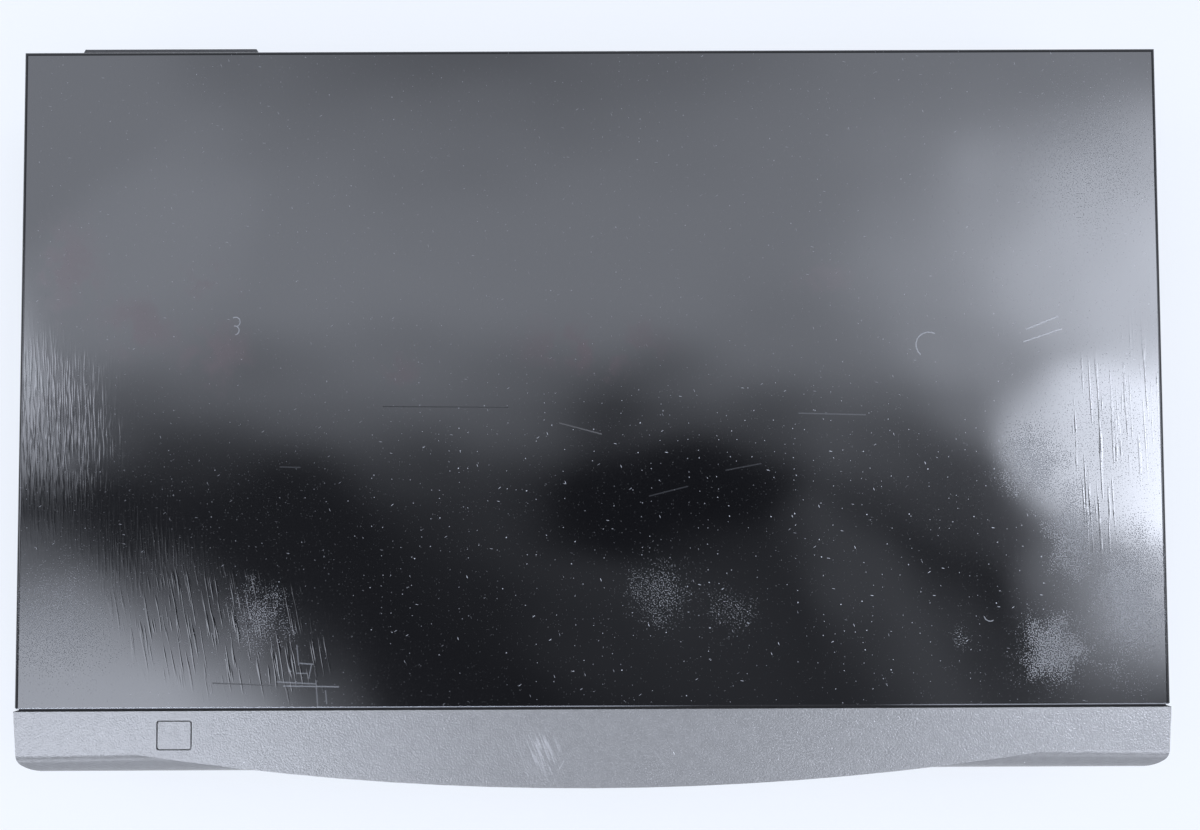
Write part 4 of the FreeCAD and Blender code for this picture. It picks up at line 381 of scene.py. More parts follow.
def specks(material, place, cell, radius, share, stretch=(1, 1, 1), turn=0.0, offset=0.0):
    """Scattered grains: one possible grain in each cell, of which a share is there, some fainter."""
    turned = add(material, "ShaderNodeMapping",
                 {"Vector": place, "Location": (offset, offset, 0),
                  "Rotation": (0, 0, math.radians(turn)),
                  "Scale": [cell * MM * s for s in stretch]}, vector_type="TEXTURE")
    cells = add(material, "ShaderNodeTexVoronoi", {"Vector": turned, "Scale": 1.0},
                voronoi_dimensions="2D")
    dot = add(material, "ShaderNodeMapRange",
              {"Value": cells.outputs["Distance"], "From Min": radius / cell * 0.5,
               "From Max": radius / cell, "To Min": 1.0, "To Max": 0.0})
    pick = add(material, "ShaderNodeSeparateColor", {0: cells.outputs["Color"]})
    there = add(material, "ShaderNodeMath", {0: pick, 1: share}, operation="LESS_THAN")
    shown = add(material, "ShaderNodeMath", {0: there, 1: pick.outputs[1]}, operation="MULTIPLY")
    return add(material, "ShaderNodeMath", {0: dot, 1: shown}, operation="MULTIPLY")


# Stoved enamel on pressed steel. To the eye it is deep black under a smooth gloss that waves a
# little with the sheet. Years of use have rubbed patches of it rough, and dust lies all over it.
ENAMEL_BLACK = "#0a0a0c"
ENAMEL_GLOSS = 0.07


def make_cover_enamel():
    material, shader, place = finish_of("stoved_black_enamel", ENAMEL_BLACK, ENAMEL_GLOSS)
    flat = flattened(material, place)
    parts = add(material, "ShaderNodeSeparateXYZ", {0: place})
    on_top = add(material, "ShaderNodeMath", {0: parts.outputs[2], 1: COVER_TOP * MM},
                 operation="GREATER_THAN")

    # ragged outlines: the ovals of the marks are pushed about by up to 9 mm
    ragged = add(material, "ShaderNodeTexNoise",
                 {"Vector": flat, "Scale": 1 / (9 * MM), "Detail": 3.0, "Roughness": 0.7},
                 noise_dimensions="2D")
    push = add(material, "ShaderNodeVectorMath",
               {0: ragged.outputs["Color"], 1: (18 * MM, 18 * MM, 0), 2: (-9 * MM, -9 * MM, 0)},
               operation="MULTIPLY_ADD")
    moved = add(material, "ShaderNodeVectorMath", {0: flat, 1: push})

    # relief: slow waves of the sheet, slid strokes and dents, and grain where it is rubbed, which
    # is drawn about twice too coarse so that it shows
    rub = zone(material, moved, RUBBED_PATCHES)
    grain = add(material, "ShaderNodeTexNoise",
                {"Vector": flat, "Scale": 1 / (0.4 * MM), "Detail": 1.0}, noise_dimensions="2D")
    deeper = add(material, "ShaderNodeMath", {0: rub, 1: 0.36, 2: grain},
                 operation="MULTIPLY_ADD")
    pits = add(material, "ShaderNodeMapRange",
               {"Value": deeper, "From Min": 0.78, "From Max": 0.88},
               interpolation_type="SMOOTHSTEP")
    waves = add(material, "ShaderNodeTexNoise",
                {"Vector": flat, "Scale": 1 / (60 * MM), "Detail": 1.0}, noise_dimensions="2D")
    reliefs = [(pits, 0.009)]
    for marks, turn, wide, long, low, high, deep in STROKES:
        lines = streaks(material, flat, turn, wide, long, low, high)
        shown = add(material, "ShaderNodeMath", {0: zone(material, moved, marks), 1: lines},
                    operation="MULTIPLY")
        reliefs.append((shown, deep))
    depth = add(material, "ShaderNodeMath", {0: waves, 1: 0.35}, operation="MULTIPLY")
    for mark, deep in reliefs:
        depth = add(material, "ShaderNodeMath", {0: mark, 1: deep, 2: depth},
                    operation="MULTIPLY_ADD")
    bump = add(material, "ShaderNodeBump", {"Height": depth, "Strength": 1.0, "Distance": MM})
    feed(material, bump, shader.inputs["Normal"])

    # dust: grains and short fibres, drawn two or three times too wide so that they show
    dust = [specks(material, flat, 7.0, 0.22, 0.3),
            specks(material, flat, 3.0, 0.15, 0.3, offset=0.003)]
    for turn, offset in ((20, 0.001), (-55, 0.002), (80, 0.005)):
        dust.append(specks(material, flat, 3.0, 0.1, 0.1, (1, 6, 1), turn, offset))
    settled = add(material, "ShaderNodeMath",
                  {0: zone(material, flat, DUSTY_ZONE, 0.5), 1: 0.55, 2: 0.25},
                  operation="MULTIPLY_ADD")
    dusty = add(material, "ShaderNodeMath", {0: largest(material, dust), 1: settled},
                operation="MULTIPLY")
    hairs = add(material, "ShaderNodeMath",
                {0: largest(material, [arc_mark(material, flat, *hair) for hair in HAIRS]),
                 1: 0.22}, operation="MULTIPLY")
    scratched = [line_mark(material, flat, *line) for line in PALE_SCRATCHES]
    cut = largest(material, [line_mark(material, flat, *line) for line in DARK_SCRATCHES])
    worn = add(material, "ShaderNodeMath", {0: pits, 1: 0.15}, operation="MULTIPLY")
    pale = add(material, "ShaderNodeMath",
               {0: on_top, 1: largest(material, [dusty, hairs, worn] + scratched)},
               operation="MULTIPLY")

    # stains: a faint brown bloom in blotches
    blotch = add(material, "ShaderNodeTexNoise",
                 {"Vector": flat, "Scale": 1 / (12 * MM), "Detail": 4.0, "Roughness": 0.6},
                 noise_dimensions="2D")
    blotch = add(material, "ShaderNodeMapRange",
                 {"Value": blotch, "From Min": 0.4, "From Max": 0.55},
                 interpolation_type="SMOOTHSTEP")
    stain = add(material, "ShaderNodeMath", {0: zone(material, moved, STAINS), 1: blotch},
                operation="MULTIPLY")
    colour = add(material, "ShaderNodeMix", {0: stain, 6: tone(ENAMEL_BLACK), 7: tone("#24161b")},
                 data_type="RGBA").outputs[2]
    colour = add(material, "ShaderNodeMix", {0: pale, 6: colour, 7: tone("#b9bcc2")},
                 data_type="RGBA").outputs[2]

    # the front rim: a pale metallic strip along its broken edge, which is a painted highlight of the
    # rim, strongest on the left
    at_rim = add(material, "ShaderNodeMath", {0: parts.outputs[1], 1: RIM_LINE * MM},
                 operation="LESS_THAN")
    rim_highlight_band = add(material, "ShaderNodeMath",
                     {0: zone(material, flat, RIM_HIGHLIGHT, 0.6), 1: at_rim}, operation="MULTIPLY")
    # painted highlight: the pale metallic strip along the top of the front rim
    metal_share = add(material, "ShaderNodeMath", {0: rim_highlight_band, 1: on_top}, operation="MULTIPLY")
    colour = add(material, "ShaderNodeMix", {0: metal_share, 6: colour, 7: tone("#c9cbd0")},
                 data_type="RGBA").outputs[2]
    feed(material, colour, shader.inputs["Base Color"])
    feed(material, metal_share, shader.inputs["Metallic"])

    rough = ENAMEL_GLOSS
    for mark, more in ((pits, 0.12), (stain, 0.1), (pale, 0.6), (cut, 0.8), (metal_share, 0.2)):
        rough = add(material, "ShaderNodeMath", {0: mark, 1: more, 2: rough},
                    operation="MULTIPLY_ADD")
    feed(material, rough, shader.inputs["Roughness"])
    return material


# High-impact polystyrene, moulded against spark-eroded steel. To the eye it is an even mid grey
# with a soft sheen and a fine grain, which is drawn about twice too coarse so that it shows.
# The tongue that goes under the cover and the groove in front of it are coloured near black and made
# dull, as painted shade of the deep seam.
PANEL_TOP = 90
FRONT_SCUFFS = [
    ((-24.5, -104), (-20, -117), 0.12), ((-20, -104), (-14, -118), 0.15),
    ((-9, -112), (-10.5, -114.5), 0.2), ((19, -109), (22, -113), 0.1),
]
SCUFFED_ZONE = [((-16, -109.5), (8, 9), 0.3)]
GROOVE_LINE = -96.15


def make_front_plastic():
    material, shader, place = finish_of("grained_polystyrene", "#737373", 0.18, ior=1.59)
    flat = flattened(material, place)
    cloud = add(material, "ShaderNodeTexNoise",
                {"Vector": place, "Scale": 1 / (3 * MM), "Detail": 5.0, "Roughness": 0.7})
    shade = add(material, "ShaderNodeMix",
                {0: cloud, 6: tone("#696969"), 7: tone("#7d7d7d")}, data_type="RGBA").outputs[2]
    parts = add(material, "ShaderNodeSeparateXYZ", {0: place})
    on_top = add(material, "ShaderNodeMath", {0: parts.outputs[2], 1: PANEL_TOP * MM},
                 operation="GREATER_THAN")
    strokes = add(material, "ShaderNodeMath",
                  {0: zone(material, flat, SCUFFED_ZONE, 0.3),
                   1: streaks(material, flat, 22, 0.6, 9, 0.45, 0.7)}, operation="MULTIPLY")
    scuffs = largest(material, [line_mark(material, flat, *mark) for mark in FRONT_SCUFFS]
                     + [strokes, specks(material, flat, 11.0, 0.2, 0.25),
                        specks(material, flat, 6.0, 0.12, 0.1, (1, 6, 1), 30, 0.002)])
    scuffs = add(material, "ShaderNodeMath", {0: scuffs, 1: on_top}, operation="MULTIPLY")
    shade = add(material, "ShaderNodeMix", {0: scuffs, 6: shade, 7: tone("#b9b9bb")},
                data_type="RGBA").outputs[2]
    # painted shade: behind this line the tongue and groove are coloured near black
    groove_shade = add(material, "ShaderNodeMath", {0: parts.outputs[1], 1: GROOVE_LINE * MM},
                 operation="GREATER_THAN")
    shade = add(material, "ShaderNodeMix", {0: groove_shade, 6: shade, 7: tone("#0b0b0c")},
                data_type="RGBA").outputs[2]
    feed(material, shade, shader.inputs["Base Color"])
    sheen = grained(material, shader, place, 0.55, 0.06, 0.04)
    dull = add(material, "ShaderNodeMath", {0: groove_shade, 1: 0.8, 2: sheen},
               operation="MULTIPLY_ADD")
    feed(material, dull, shader.inputs["Roughness"])
    return material


# The same enamel as the cover's, sprayed thinner on the rear sheet: darker, duller, fine-grained
def make_rear_enamel():
    material, shader, place = finish_of("sprayed_black_enamel", "#161618", 0.34)
    grained(material, shader, place, 0.8, 0.02, 0.06)
    return material


# Mild steel plated with zinc and passivated: pale bluish grey with a faint yellow cloud, satin
def make_zinc_steel():
    material, shader, place = finish_of("zinc_plated_steel", "#b4b7bc", 0.34, 1.0)
    cloud = add(material, "ShaderNodeTexNoise",
                {"Vector": place, "Scale": 1 / (12 * MM), "Detail": 4.0, "Roughness": 0.65})
    spread = add(material, "ShaderNodeMapRange", {"Value": cloud, "From Min": 0.35, "From Max": 0.65})
    shade = add(material, "ShaderNodeMix",
                {0: spread, 6: tone("#a9adb4"), 7: tone("#c6c4b8")}, data_type="RGBA").outputs[2]
    feed(material, shade, shader.inputs["Base Color"])
    grained(material, shader, place, 0.7, 0.006, 0.07, (1, 6, 1))
    return material


# Zinc plate dyed black, as on case screws: near black with a metal glint and an oily bloom
def make_black_zinc():
    material, shader, place = finish_of("black_zinc_plate", "#2c2c2f", 0.32, 1.0)
    bloom = add(material, "ShaderNodeTexNoise",
                {"Vector": place, "Scale": 1 / (1.5 * MM), "Detail": 2.0})
    shade = add(material, "ShaderNodeMix",
                {0: bloom, 6: tone("#232326"), 7: tone("#3b3a36")}, data_type="RGBA").outputs[2]
    feed(material, shade, shader.inputs["Base Color"])
    grained(material, shader, place, 0.4, 0.008, 0.05)
    return material


# Cast acrylic sheet with a dye in it: clear and glossy at the surface, dark through its depth.
# The polished face has a wave too shallow to see except where a lamp is mirrored in it.
def make_acrylic(name, colour):
    material, shader, place = finish_of(name, colour, 0.03, ior=1.49)
    shader.inputs["Transmission Weight"].default_value = 1.0
    grained(material, shader, place, 18, 0.02)
    return material


# Soda-lime glass envelope of a display tube. Through it shows a fine wire mesh, drawn about twice
# too coarse, with the unlit grey-green phosphor of each figure's two upright strokes behind it.
FIGURE_HALF_PITCH = 9
STROKE_INNER = 2.2
STROKE_OUTER = 3.1
FIGURE_MIDDLE = 41
FIGURE_HALF_HEIGHT = 5


def make_tube_glass():
    material, shader, place = finish_of("display_tube_glass", "#12181a", 0.06, ior=1.52)
    mesh = add(material, "ShaderNodeTexVoronoi", {"Vector": place, "Scale": 1 / (0.7 * MM)},
               feature="DISTANCE_TO_EDGE")
    wires = add(material, "ShaderNodeMapRange",
                {"Value": mesh.outputs["Distance"], "From Min": 0.04, "From Max": 0.1,
                 "To Min": 1.0, "To Max": 0.0})
    parts = add(material, "ShaderNodeSeparateXYZ", {0: place})
    cell = add(material, "ShaderNodeMath", {0: parts.outputs[0], 1: FIGURE_HALF_PITCH * MM},
               operation="PINGPONG")
    outside = add(material, "ShaderNodeMath", {0: cell, 1: STROKE_INNER * MM},
                  operation="GREATER_THAN")
    inside = add(material, "ShaderNodeMath", {0: cell, 1: STROKE_OUTER * MM},
                 operation="LESS_THAN")
    height = add(material, "ShaderNodeMath",
                 {0: parts.outputs[2], 1: FIGURE_MIDDLE * MM, 2: FIGURE_HALF_HEIGHT * MM},
                 operation="COMPARE")
    stroke = add(material, "ShaderNodeMath", {0: outside, 1: inside}, operation="MULTIPLY")
    phosphor = add(material, "ShaderNodeMath", {0: stroke, 1: height}, operation="MULTIPLY")
    shade = add(material, "ShaderNodeMix", {0: phosphor, 6: tone("#12181a"), 7: tone("#54665c")},
                data_type="RGBA").outputs[2]
    shade = add(material, "ShaderNodeMix", {0: wires, 6: shade, 7: tone("#5a5d5e")},
                data_type="RGBA").outputs[2]
    feed(material, shade, shader.inputs["Base Color"])
    return material


# Plain impact polystyrene, coloured through and left as it comes from a lightly etched mould:
# charcoal, dull, slightly cloudy, with a fine even grain that is drawn about twice too coarse
def make_black_plastic():
    material, shader, place = finish_of("etched_black_polystyrene", "#29292b", 0.5)
    cloud = add(material, "ShaderNodeTexNoise",
                {"Vector": place, "Scale": 1 / (9 * MM), "Detail": 3.0, "Roughness": 0.7})
    shade = add(material, "ShaderNodeMix",
                {0: cloud, 6: tone("#232325"), 7: tone("#343436")}, data_type="RGBA").outputs[2]
    feed(material, shade, shader.inputs["Base Color"])
    grained(material, shader, place, 0.5, 0.03, 0.06)
    return material


# Vulcanised rubber: dead black and dry, with the greyish bloom that rubs off on shelves
def make_rubber(name, colour, grain):
    material, shader, place = finish_of(name, colour, 0.8)
    mottled(material, shader, place, 6, "#2c2c2b", colour)
    grained(material, shader, place, grain, 0.03, 0.08)
    return material


# Bright nickel on turned brass: warm white metal, mirror-like, with the lathe's rings under it
def make_nickel():
    material, shader, place = finish_of("bright_nickel_plate", "#cdc8bd", 0.18, 1.0)
    grained(material, shader, place, 0.5, 0.006, 0.05, (1, 8, 1))
    return material


# Tin-plated steel can, folded and spot-soldered: white metal, slightly matt, with soft flow marks
def make_tinplate():
    material, shader, place = finish_of("tin_plated_steel", "#c9c9c6", 0.28, 1.0)
    mottled(material, shader, place, 9, "#d2d1cc", "#b3b4b4")
    grained(material, shader, place, 1.4, 0.012, 0.06, (1, 4, 1))
    return material


# Moulded polyamide of the jacks: yellow, white and red rings by column, front and rear, on the
# black bodies that lie between them
JACK_BLACK = "#1e1e20"
JACK_WHITE = "#e8e6de"
JACK_COLOURS = (("#d8b320", (50, 117)), (JACK_WHITE, (68, 135)), ("#b3201e", (86, 153)))
JACK_COLUMN_HALF = 7
JACK_BODIES_MIDDLE = 2.35
JACK_BODIES_HALF = 104.35


def make_jack_plastic():
    material, shader, place = finish_of("moulded_polyamide", JACK_BLACK, 0.35)
    parts = add(material, "ShaderNodeSeparateXYZ", {0: place})
    shade = tone(JACK_WHITE)
    for colour, columns in JACK_COLOURS:
        for column in columns:
            near = add(material, "ShaderNodeMath",
                       {0: parts.outputs[0], 1: column * MM, 2: JACK_COLUMN_HALF * MM},
                       operation="COMPARE")
            shade = add(material, "ShaderNodeMix", {0: near, 6: shade, 7: tone(colour)},
                        data_type="RGBA").outputs[2]
    behind = add(material, "ShaderNodeMath",
                 {0: parts.outputs[1], 1: JACK_BODIES_MIDDLE * MM, 2: JACK_BODIES_HALF * MM},
                 operation="COMPARE")
    shade = add(material, "ShaderNodeMix", {0: behind, 6: shade, 7: tone(JACK_BLACK)},
                data_type="RGBA").outputs[2]
    feed(material, shade, shader.inputs["Base Color"])
    grained(material, shader, place, 0.4, 0.01, 0.05)
    return material


# Phenolic paper board: tan and faintly fibrous above, green resist with solder joints below
def make_board():
    material, shader, place = finish_of("phenolic_paper_board", "#a07b48", 0.45)
    fibres = add(material, "ShaderNodeMapping", {"Vector": place, "Scale": (1, 4, 1)})
    cloud = add(material, "ShaderNodeTexNoise",
                {"Vector": fibres, "Scale": 1 / (3 * MM), "Detail": 4.0})
    above = add(material, "ShaderNodeMix",
                {0: cloud, 6: tone("#8d6a3c"), 7: tone("#b08a55")}, data_type="RGBA").outputs[2]
    tracks = add(material, "ShaderNodeTexBrick",
                 {"Vector": place, "Color1": tone("#1f5334"), "Color2": tone("#27603c"),
                  "Mortar": tone("#17402a"), "Scale": 1 / (9 * MM), "Mortar Size": 0.05})
    joints = specks(material, place, 3.2, 0.8, 0.5)
    below = add(material, "ShaderNodeMix", {0: joints, 6: tracks, 7: tone("#b9bbbd")},
                data_type="RGBA").outputs[2]
    up = add(material, "ShaderNodeSeparateXYZ",
             {0: add(material, "ShaderNodeTexCoord").outputs["Normal"]}).outputs[2]
    under = add(material, "ShaderNodeMath", {0: up, 1: -0.5}, operation="LESS_THAN")
    shade = add(material, "ShaderNodeMix", {0: under, 6: above, 7: below},
                data_type="RGBA").outputs[2]
    feed(material, shade, shader.inputs["Base Color"])
    grained(material, shader, place, 0.6, 0.01, 0.05)
    return material


# Black moulded epoxy of the chips, and above their tops the capacitors: a dark blue shrunk sleeve
# with a bare aluminium disc on top
CHIP_BLACK = "#1d1d20"
CHIP_TOPS = 19.2


def make_components():
    material, shader, place = finish_of("moulded_epoxy_and_sleeving", CHIP_BLACK, 0.5)
    height = add(material, "ShaderNodeSeparateXYZ", {0: place}).outputs[2]
    tall = add(material, "ShaderNodeMath", {0: height, 1: CHIP_TOPS * MM}, operation="GREATER_THAN")
    up = add(material, "ShaderNodeSeparateXYZ",
             {0: add(material, "ShaderNodeTexCoord").outputs["Normal"]}).outputs[2]
    facing = add(material, "ShaderNodeMath", {0: up, 1: 0.7}, operation="GREATER_THAN")
    disc = add(material, "ShaderNodeMath", {0: tall, 1: facing}, operation="MULTIPLY")
    shade = add(material, "ShaderNodeMix", {0: tall, 6: tone(CHIP_BLACK), 7: tone("#1b2748")},
                data_type="RGBA").outputs[2]
    shade = add(material, "ShaderNodeMix", {0: disc, 6: shade, 7: tone("#c3c4c6")},
                data_type="RGBA").outputs[2]
    feed(material, shade, shader.inputs["Base Color"])
    feed(material, disc, shader.inputs["Metallic"])
    grained(material, shader, place, 0.4, 0.015, 0.08)
    return material


# Transformer: a stack of half-millimetre varnished steel plates round a coil in yellow tape.
# The plates' edges show as fine lines, drawn twice too wide.
PLATE = 0.5
PLATE_GAP = 0.12
COIL_CENTRE = (-152, 24)
COIL_HALF = (7.1, 10.1)


def make_laminated_core():
    material, shader, place = finish_of("varnished_laminated_core", "#55565b", 0.42)
    parts = add(material, "ShaderNodeSeparateXYZ", {0: place})
    layer = add(material, "ShaderNodeMath", {0: parts.outputs[2], 1: PLATE * MM},
                operation="PINGPONG")
    line = add(material, "ShaderNodeMath", {0: layer, 1: PLATE_GAP * MM}, operation="LESS_THAN")
    shade = add(material, "ShaderNodeMix", {0: line, 6: tone("#5d5e63"), 7: tone("#2b2a2a")},
                data_type="RGBA").outputs[2]
    across, along = [
        add(material, "ShaderNodeMath", {0: parts.outputs[i], 1: centre * MM, 2: half * MM},
            operation="COMPARE") for i, (centre, half) in enumerate(zip(COIL_CENTRE, COIL_HALF))]
    coil = add(material, "ShaderNodeMath", {0: across, 1: along}, operation="MULTIPLY")
    shade = add(material, "ShaderNodeMix", {0: coil, 6: shade, 7: tone("#c39b32")},
                data_type="RGBA").outputs[2]
    feed(material, shade, shader.inputs["Base Color"])
    metal_share = add(material, "ShaderNodeMath", {0: 0.8, 1: coil}, operation="SUBTRACT")
    feed(material, metal_share, shader.inputs["Metallic"])
    grained(material, shader, place, 0.8, 0.02, 0.06)
    return material


# Aluminium as it leaves the extrusion die: pale and satin, with fine lines up its length
def make_extruded():
    material, shader, place = finish_of("extruded_aluminium", "#c2c3c6", 0.36, 1.0)
    grained(material, shader, place, 0.5, 0.02, 0.08, (1, 1, 0.04))
    return material


# Turned and polished aluminium of the drum: bright, with rings round its axis, drawn twice too wide
DRUM_AXIS = (0, 57)
RING = 0.6


def make_turned():
    material, shader, place = finish_of("turned_aluminium", "#cfd0d3", 0.16, 1.0)
    centred = add(material, "ShaderNodeVectorMath",
                  {0: place, 1: (DRUM_AXIS[0] * MM, DRUM_AXIS[1] * MM, 0)}, operation="SUBTRACT")
    rings = add(material, "ShaderNodeTexWave",
                {"Vector": centred, "Scale": 2 * math.pi / 20 / (RING * MM), "Distortion": 0.4},
                wave_type="RINGS", rings_direction="Z")
    bump = add(material, "ShaderNodeBump", {"Height": rings, "Strength": 0.5, "Distance": 0.01 * MM})
    feed(material, bump, shader.inputs["Normal"])
    sheen = add(material, "ShaderNodeMapRange", {"Value": rings, "To Min": 0.13, "To Max": 0.22})
    feed(material, sheen, shader.inputs["Roughness"])
    return material


# Acetal, moulded: waxy and slightly soft to the eye, natural white or filled black
def make_acetal(name, colour, soft):
    material, shader, place = finish_of(name, colour, 0.38, ior=1.48)
    shader.inputs["Subsurface Weight"].default_value = soft
    shader.inputs["Subsurface Scale"].default_value = 1.5 * MM
    shader.inputs["Subsurface Radius"].default_value = (1.0, 0.9, 0.8)
    grained(material, shader, place, 1.2, 0.012, 0.06)
    return material


# Lapped metal of heads, posts and guides, worn bright by tape: fine lines along the tape's run
def make_lapped():
    material, shader, place = finish_of("lapped_head_metal", "#c6c7ca", 0.14, 1.0)
    grained(material, shader, place, 0.3, 0.006, 0.05, (1, 1, 6))
    return material


# Music wire: drawn hard and smooth, grey with a straw tint from its heat treatment
def make_spring_wire():
    material, shader, place = finish_of("drawn_spring_wire", "#9d9a92", 0.28, 1.0)
    grained(material, shader, place, 0.3, 0.004, 0.05)
    return material


# Ink pad-printed on the keys: flat off-white, slightly raised and a little uneven at this size
def make_key_print():
    material, shader, place = finish_of("pad_printed_ink", "#dcdbd8", 0.55)
    mottled(material, shader, place, 0.8, "#e2e1de", "#cfcecb")
    return material


cover_enamel = make_cover_enamel()
front_plastic = make_front_plastic()
rear_enamel = make_rear_enamel()
zinc_steel = make_zinc_steel()
black_zinc = make_black_zinc()
smoked_acrylic = make_acrylic("smoked_acrylic", "#7d7f88")
red_acrylic = make_acrylic("dark_red_acrylic", "#8c1220")
tube_glass = make_tube_glass()
black_plastic = make_black_plastic()
foot_rubber = make_rubber("moulded_foot_rubber", "#1b1b1b", 0.7)
ground_rubber = make_rubber("ground_neoprene", "#141414", 0.3)
bright_nickel = make_nickel()
tinplate = make_tinplate()
jack_plastic = make_jack_plastic()
phenolic_board = make_board()
components = make_components()
laminated_core = make_laminated_core()
extruded = make_extruded()
turned = make_turned()
white_acetal = make_acetal("natural_acetal", "#e4e0d3", 0.15)
dark_acetal = make_acetal("black_acetal", "#29292c", 0.0)
lapped_metal = make_lapped()
spring_wire = make_spring_wire()
key_print = make_key_print()

KEY_NAMES = ("power_key", "eject_key", "channel_up_key", "channel_down_key", "rewind_key",
             "stop_key", "play_key", "fast_forward_key", "record_key")
wearers = {
    cover_enamel: ("top_cover",),
    front_plastic: ("front_panel", "top_key", "cassette_door", "jack_flap", *KEY_NAMES),
    rear_enamel: ("rear_panel",),
    black_zinc: ("cover_screws",),
    smoked_acrylic: ("display_window",),
    red_acrylic: ("infrared_lens",),
    tube_glass: ("display_tube",),
    black_plastic: ("front_board_parts", "chassis_base", "feet", "power_inlet",
                    "channel_switch_knob"),
    foot_rubber: ("foot_pads",),
    ground_rubber: ("reel_belt", "pinch_roller"),
    bright_nickel: ("jack_sleeves",),
    tinplate: ("tuner",),
    jack_plastic: ("jack_insulators",),
    phenolic_board: ("circuit_boards",),
    components: ("board_components", "capstan_stator"),
    laminated_core: ("transformer",),
    extruded: ("heatsink",),
    zinc_steel: ("deck_plate", "side_brackets", "cassette_holder", "capstan", "idler_arm",
                 "tension_arm", "pinch_arm", "loading_motor"),
    white_acetal: ("rack_slides", "drive_gear", "cam_gear"),
    dark_acetal: ("cross_shaft", "reel_clutch", "idler_wheel", "supply_reel", "takeup_reel",
                  "loading_pinion"),
    turned: ("lower_drum", "upper_drum"),
    lapped_metal: ("supply_guide", "takeup_guide", "tape_heads"),
    spring_wire: ("door_spring",),
}
for finish, names in wearers.items():
    for name in names:
        nodes[name].data.materials.clear()
        nodes[name].data.materials.append(finish)


def new_piece(name, mesh, finish, body, smooth=True):
    """A piece of the scene's own, in one finish, that rides on a body."""
    piece = bpy.data.objects.new(name, mesh)
    bpy.context.scene.collection.objects.link(piece)
    mesh.materials.clear()
    mesh.materials.append(finish)
    if smooth:
        mesh.polygons.foreach_set("use_smooth", [True] * len(mesh.polygons))
        mesh.set_sharp_from_angle(angle=math.radians(35))
    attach(piece, body)
    return piece


# Case screws: a domed pan head with a cross recess and a rolled thread, turned from one outline
THREAD_CORE = 1.25
THREAD_CREST = 1.5
THREAD_PITCH = 0.7
THREAD_END = -5.2
SIDE_SCREWS_X = 179.7
SIDE_SCREWS_Y = (-77.3, 82.7)
SIDE_SCREWS_Z = 21
REAR_SCREW = (0, 111.7, 86.8)


def make_case_screw(head):
    """A screw standing on the XY plane, its head up to the given height and its shank below."""
    outline = [(0, head), (1.5, head), (2.3, head * 0.9), (2.9, head * 0.6), (3.15, head * 0.2),
               (3.15, 0), (THREAD_CORE, 0)]
    depth = 0.0
    while depth > THREAD_END:
        outline += [(THREAD_CORE, depth - 0.1), (THREAD_CREST, depth - 0.35),
                    (THREAD_CORE, depth - 0.6)]
        depth -= THREAD_PITCH
    outline += [(0.6, -5.8), (0, -5.9)]
    form = bmesh.new()
    verts = [form.verts.new((r * MM, 0, z * MM)) for r, z in outline]
    edges = [form.edges.new(pair) for pair in zip(verts, verts[1:])]
    bmesh.ops.spin(form, geom=verts + edges, cent=(0, 0, 0), axis=(0, 0, 1),
                   angle=2 * math.pi, steps=28)
    bmesh.ops.remove_doubles(form, verts=form.verts, dist=1e-6)
    bmesh.ops.recalc_face_normals(form, faces=form.faces)
    screw = bpy.data.meshes.new("case_screw")
    form.to_mesh(screw)
    form.free()
    return screw


def cross_recess(head):
    """The space that a cross-head driver fills, narrower at its foot."""
    form = bmesh.new()
    for turn in (0, 90):
        top = [(-1.9, -0.4), (1.9, -0.4), (1.9, 0.4), (-1.9, 0.4)]
        low = [(-0.7, -0.3), (0.7, -0.3), (0.7, 0.3), (-0.7, 0.3)]
        spin = Matrix.Rotation(math.radians(turn), 3, "Z")
        rings = []
        for corners, z in ((top, head + 0.4), (low, head - 1.2)):
            rings.append([form.verts.new(spin @ Vector((x * MM, y * MM, z * MM)))
                          for x, y in corners])
        form.faces.new(rings[0])
        form.faces.new(rings[1][::-1])
        for i in range(4):
            j = (i + 1) % 4
            form.faces.new((rings[0][j], rings[0][i], rings[1][i], rings[1][j]))
    bmesh.ops.recalc_face_normals(form, faces=form.faces)
    recess = bpy.data.meshes.new("cross_recess")
    form.to_mesh(recess)
    form.free()
    return recess


def make_cover_screws():
    """Two screws in each side and a flatter one at the rear, each recess left at its own turn."""
    places = []
    for side in (-1, 1):
        for y in SIDE_SCREWS_Y:
            places.append((1.6, Vector((side * SIDE_SCREWS_X, y, SIDE_SCREWS_Z)),
                           Vector((side, 0, 0)), y + side))
    places.append((1.0, Vector(REAR_SCREW), Vector((0, 1, 0)), 20))
    form = bmesh.new()
    for head, foot, out, turn in places:
        screw = bpy.data.objects.new("screw_blank", make_case_screw(head))
        tool = bpy.data.objects.new("recess_tool", cross_recess(head))
        for thing in (screw, tool):
            bpy.context.scene.collection.objects.link(thing)
        carve = screw.modifiers.new("recess", "BOOLEAN")
        carve.object = tool
        carve.operation = "DIFFERENCE"
        carve.use_self = True
        carved = bpy.data.meshes.new_from_object(
            screw.evaluated_get(bpy.context.evaluated_depsgraph_get()))
        stand = Matrix.Translation(foot * MM) @ out.to_track_quat("Z", "Y").to_matrix().to_4x4()
        carved.transform(stand @ Matrix.Rotation(turn, 4, "Z"))
        form.from_mesh(carved)
        for thing in (screw, tool):
            bpy.data.objects.remove(thing)
    mesh = bpy.data.meshes.new("case_screws")
    form.to_mesh(mesh)
    form.free()
    piece = new_piece("case_screws", mesh, black_zinc, "housing")
    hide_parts("cover_screws")


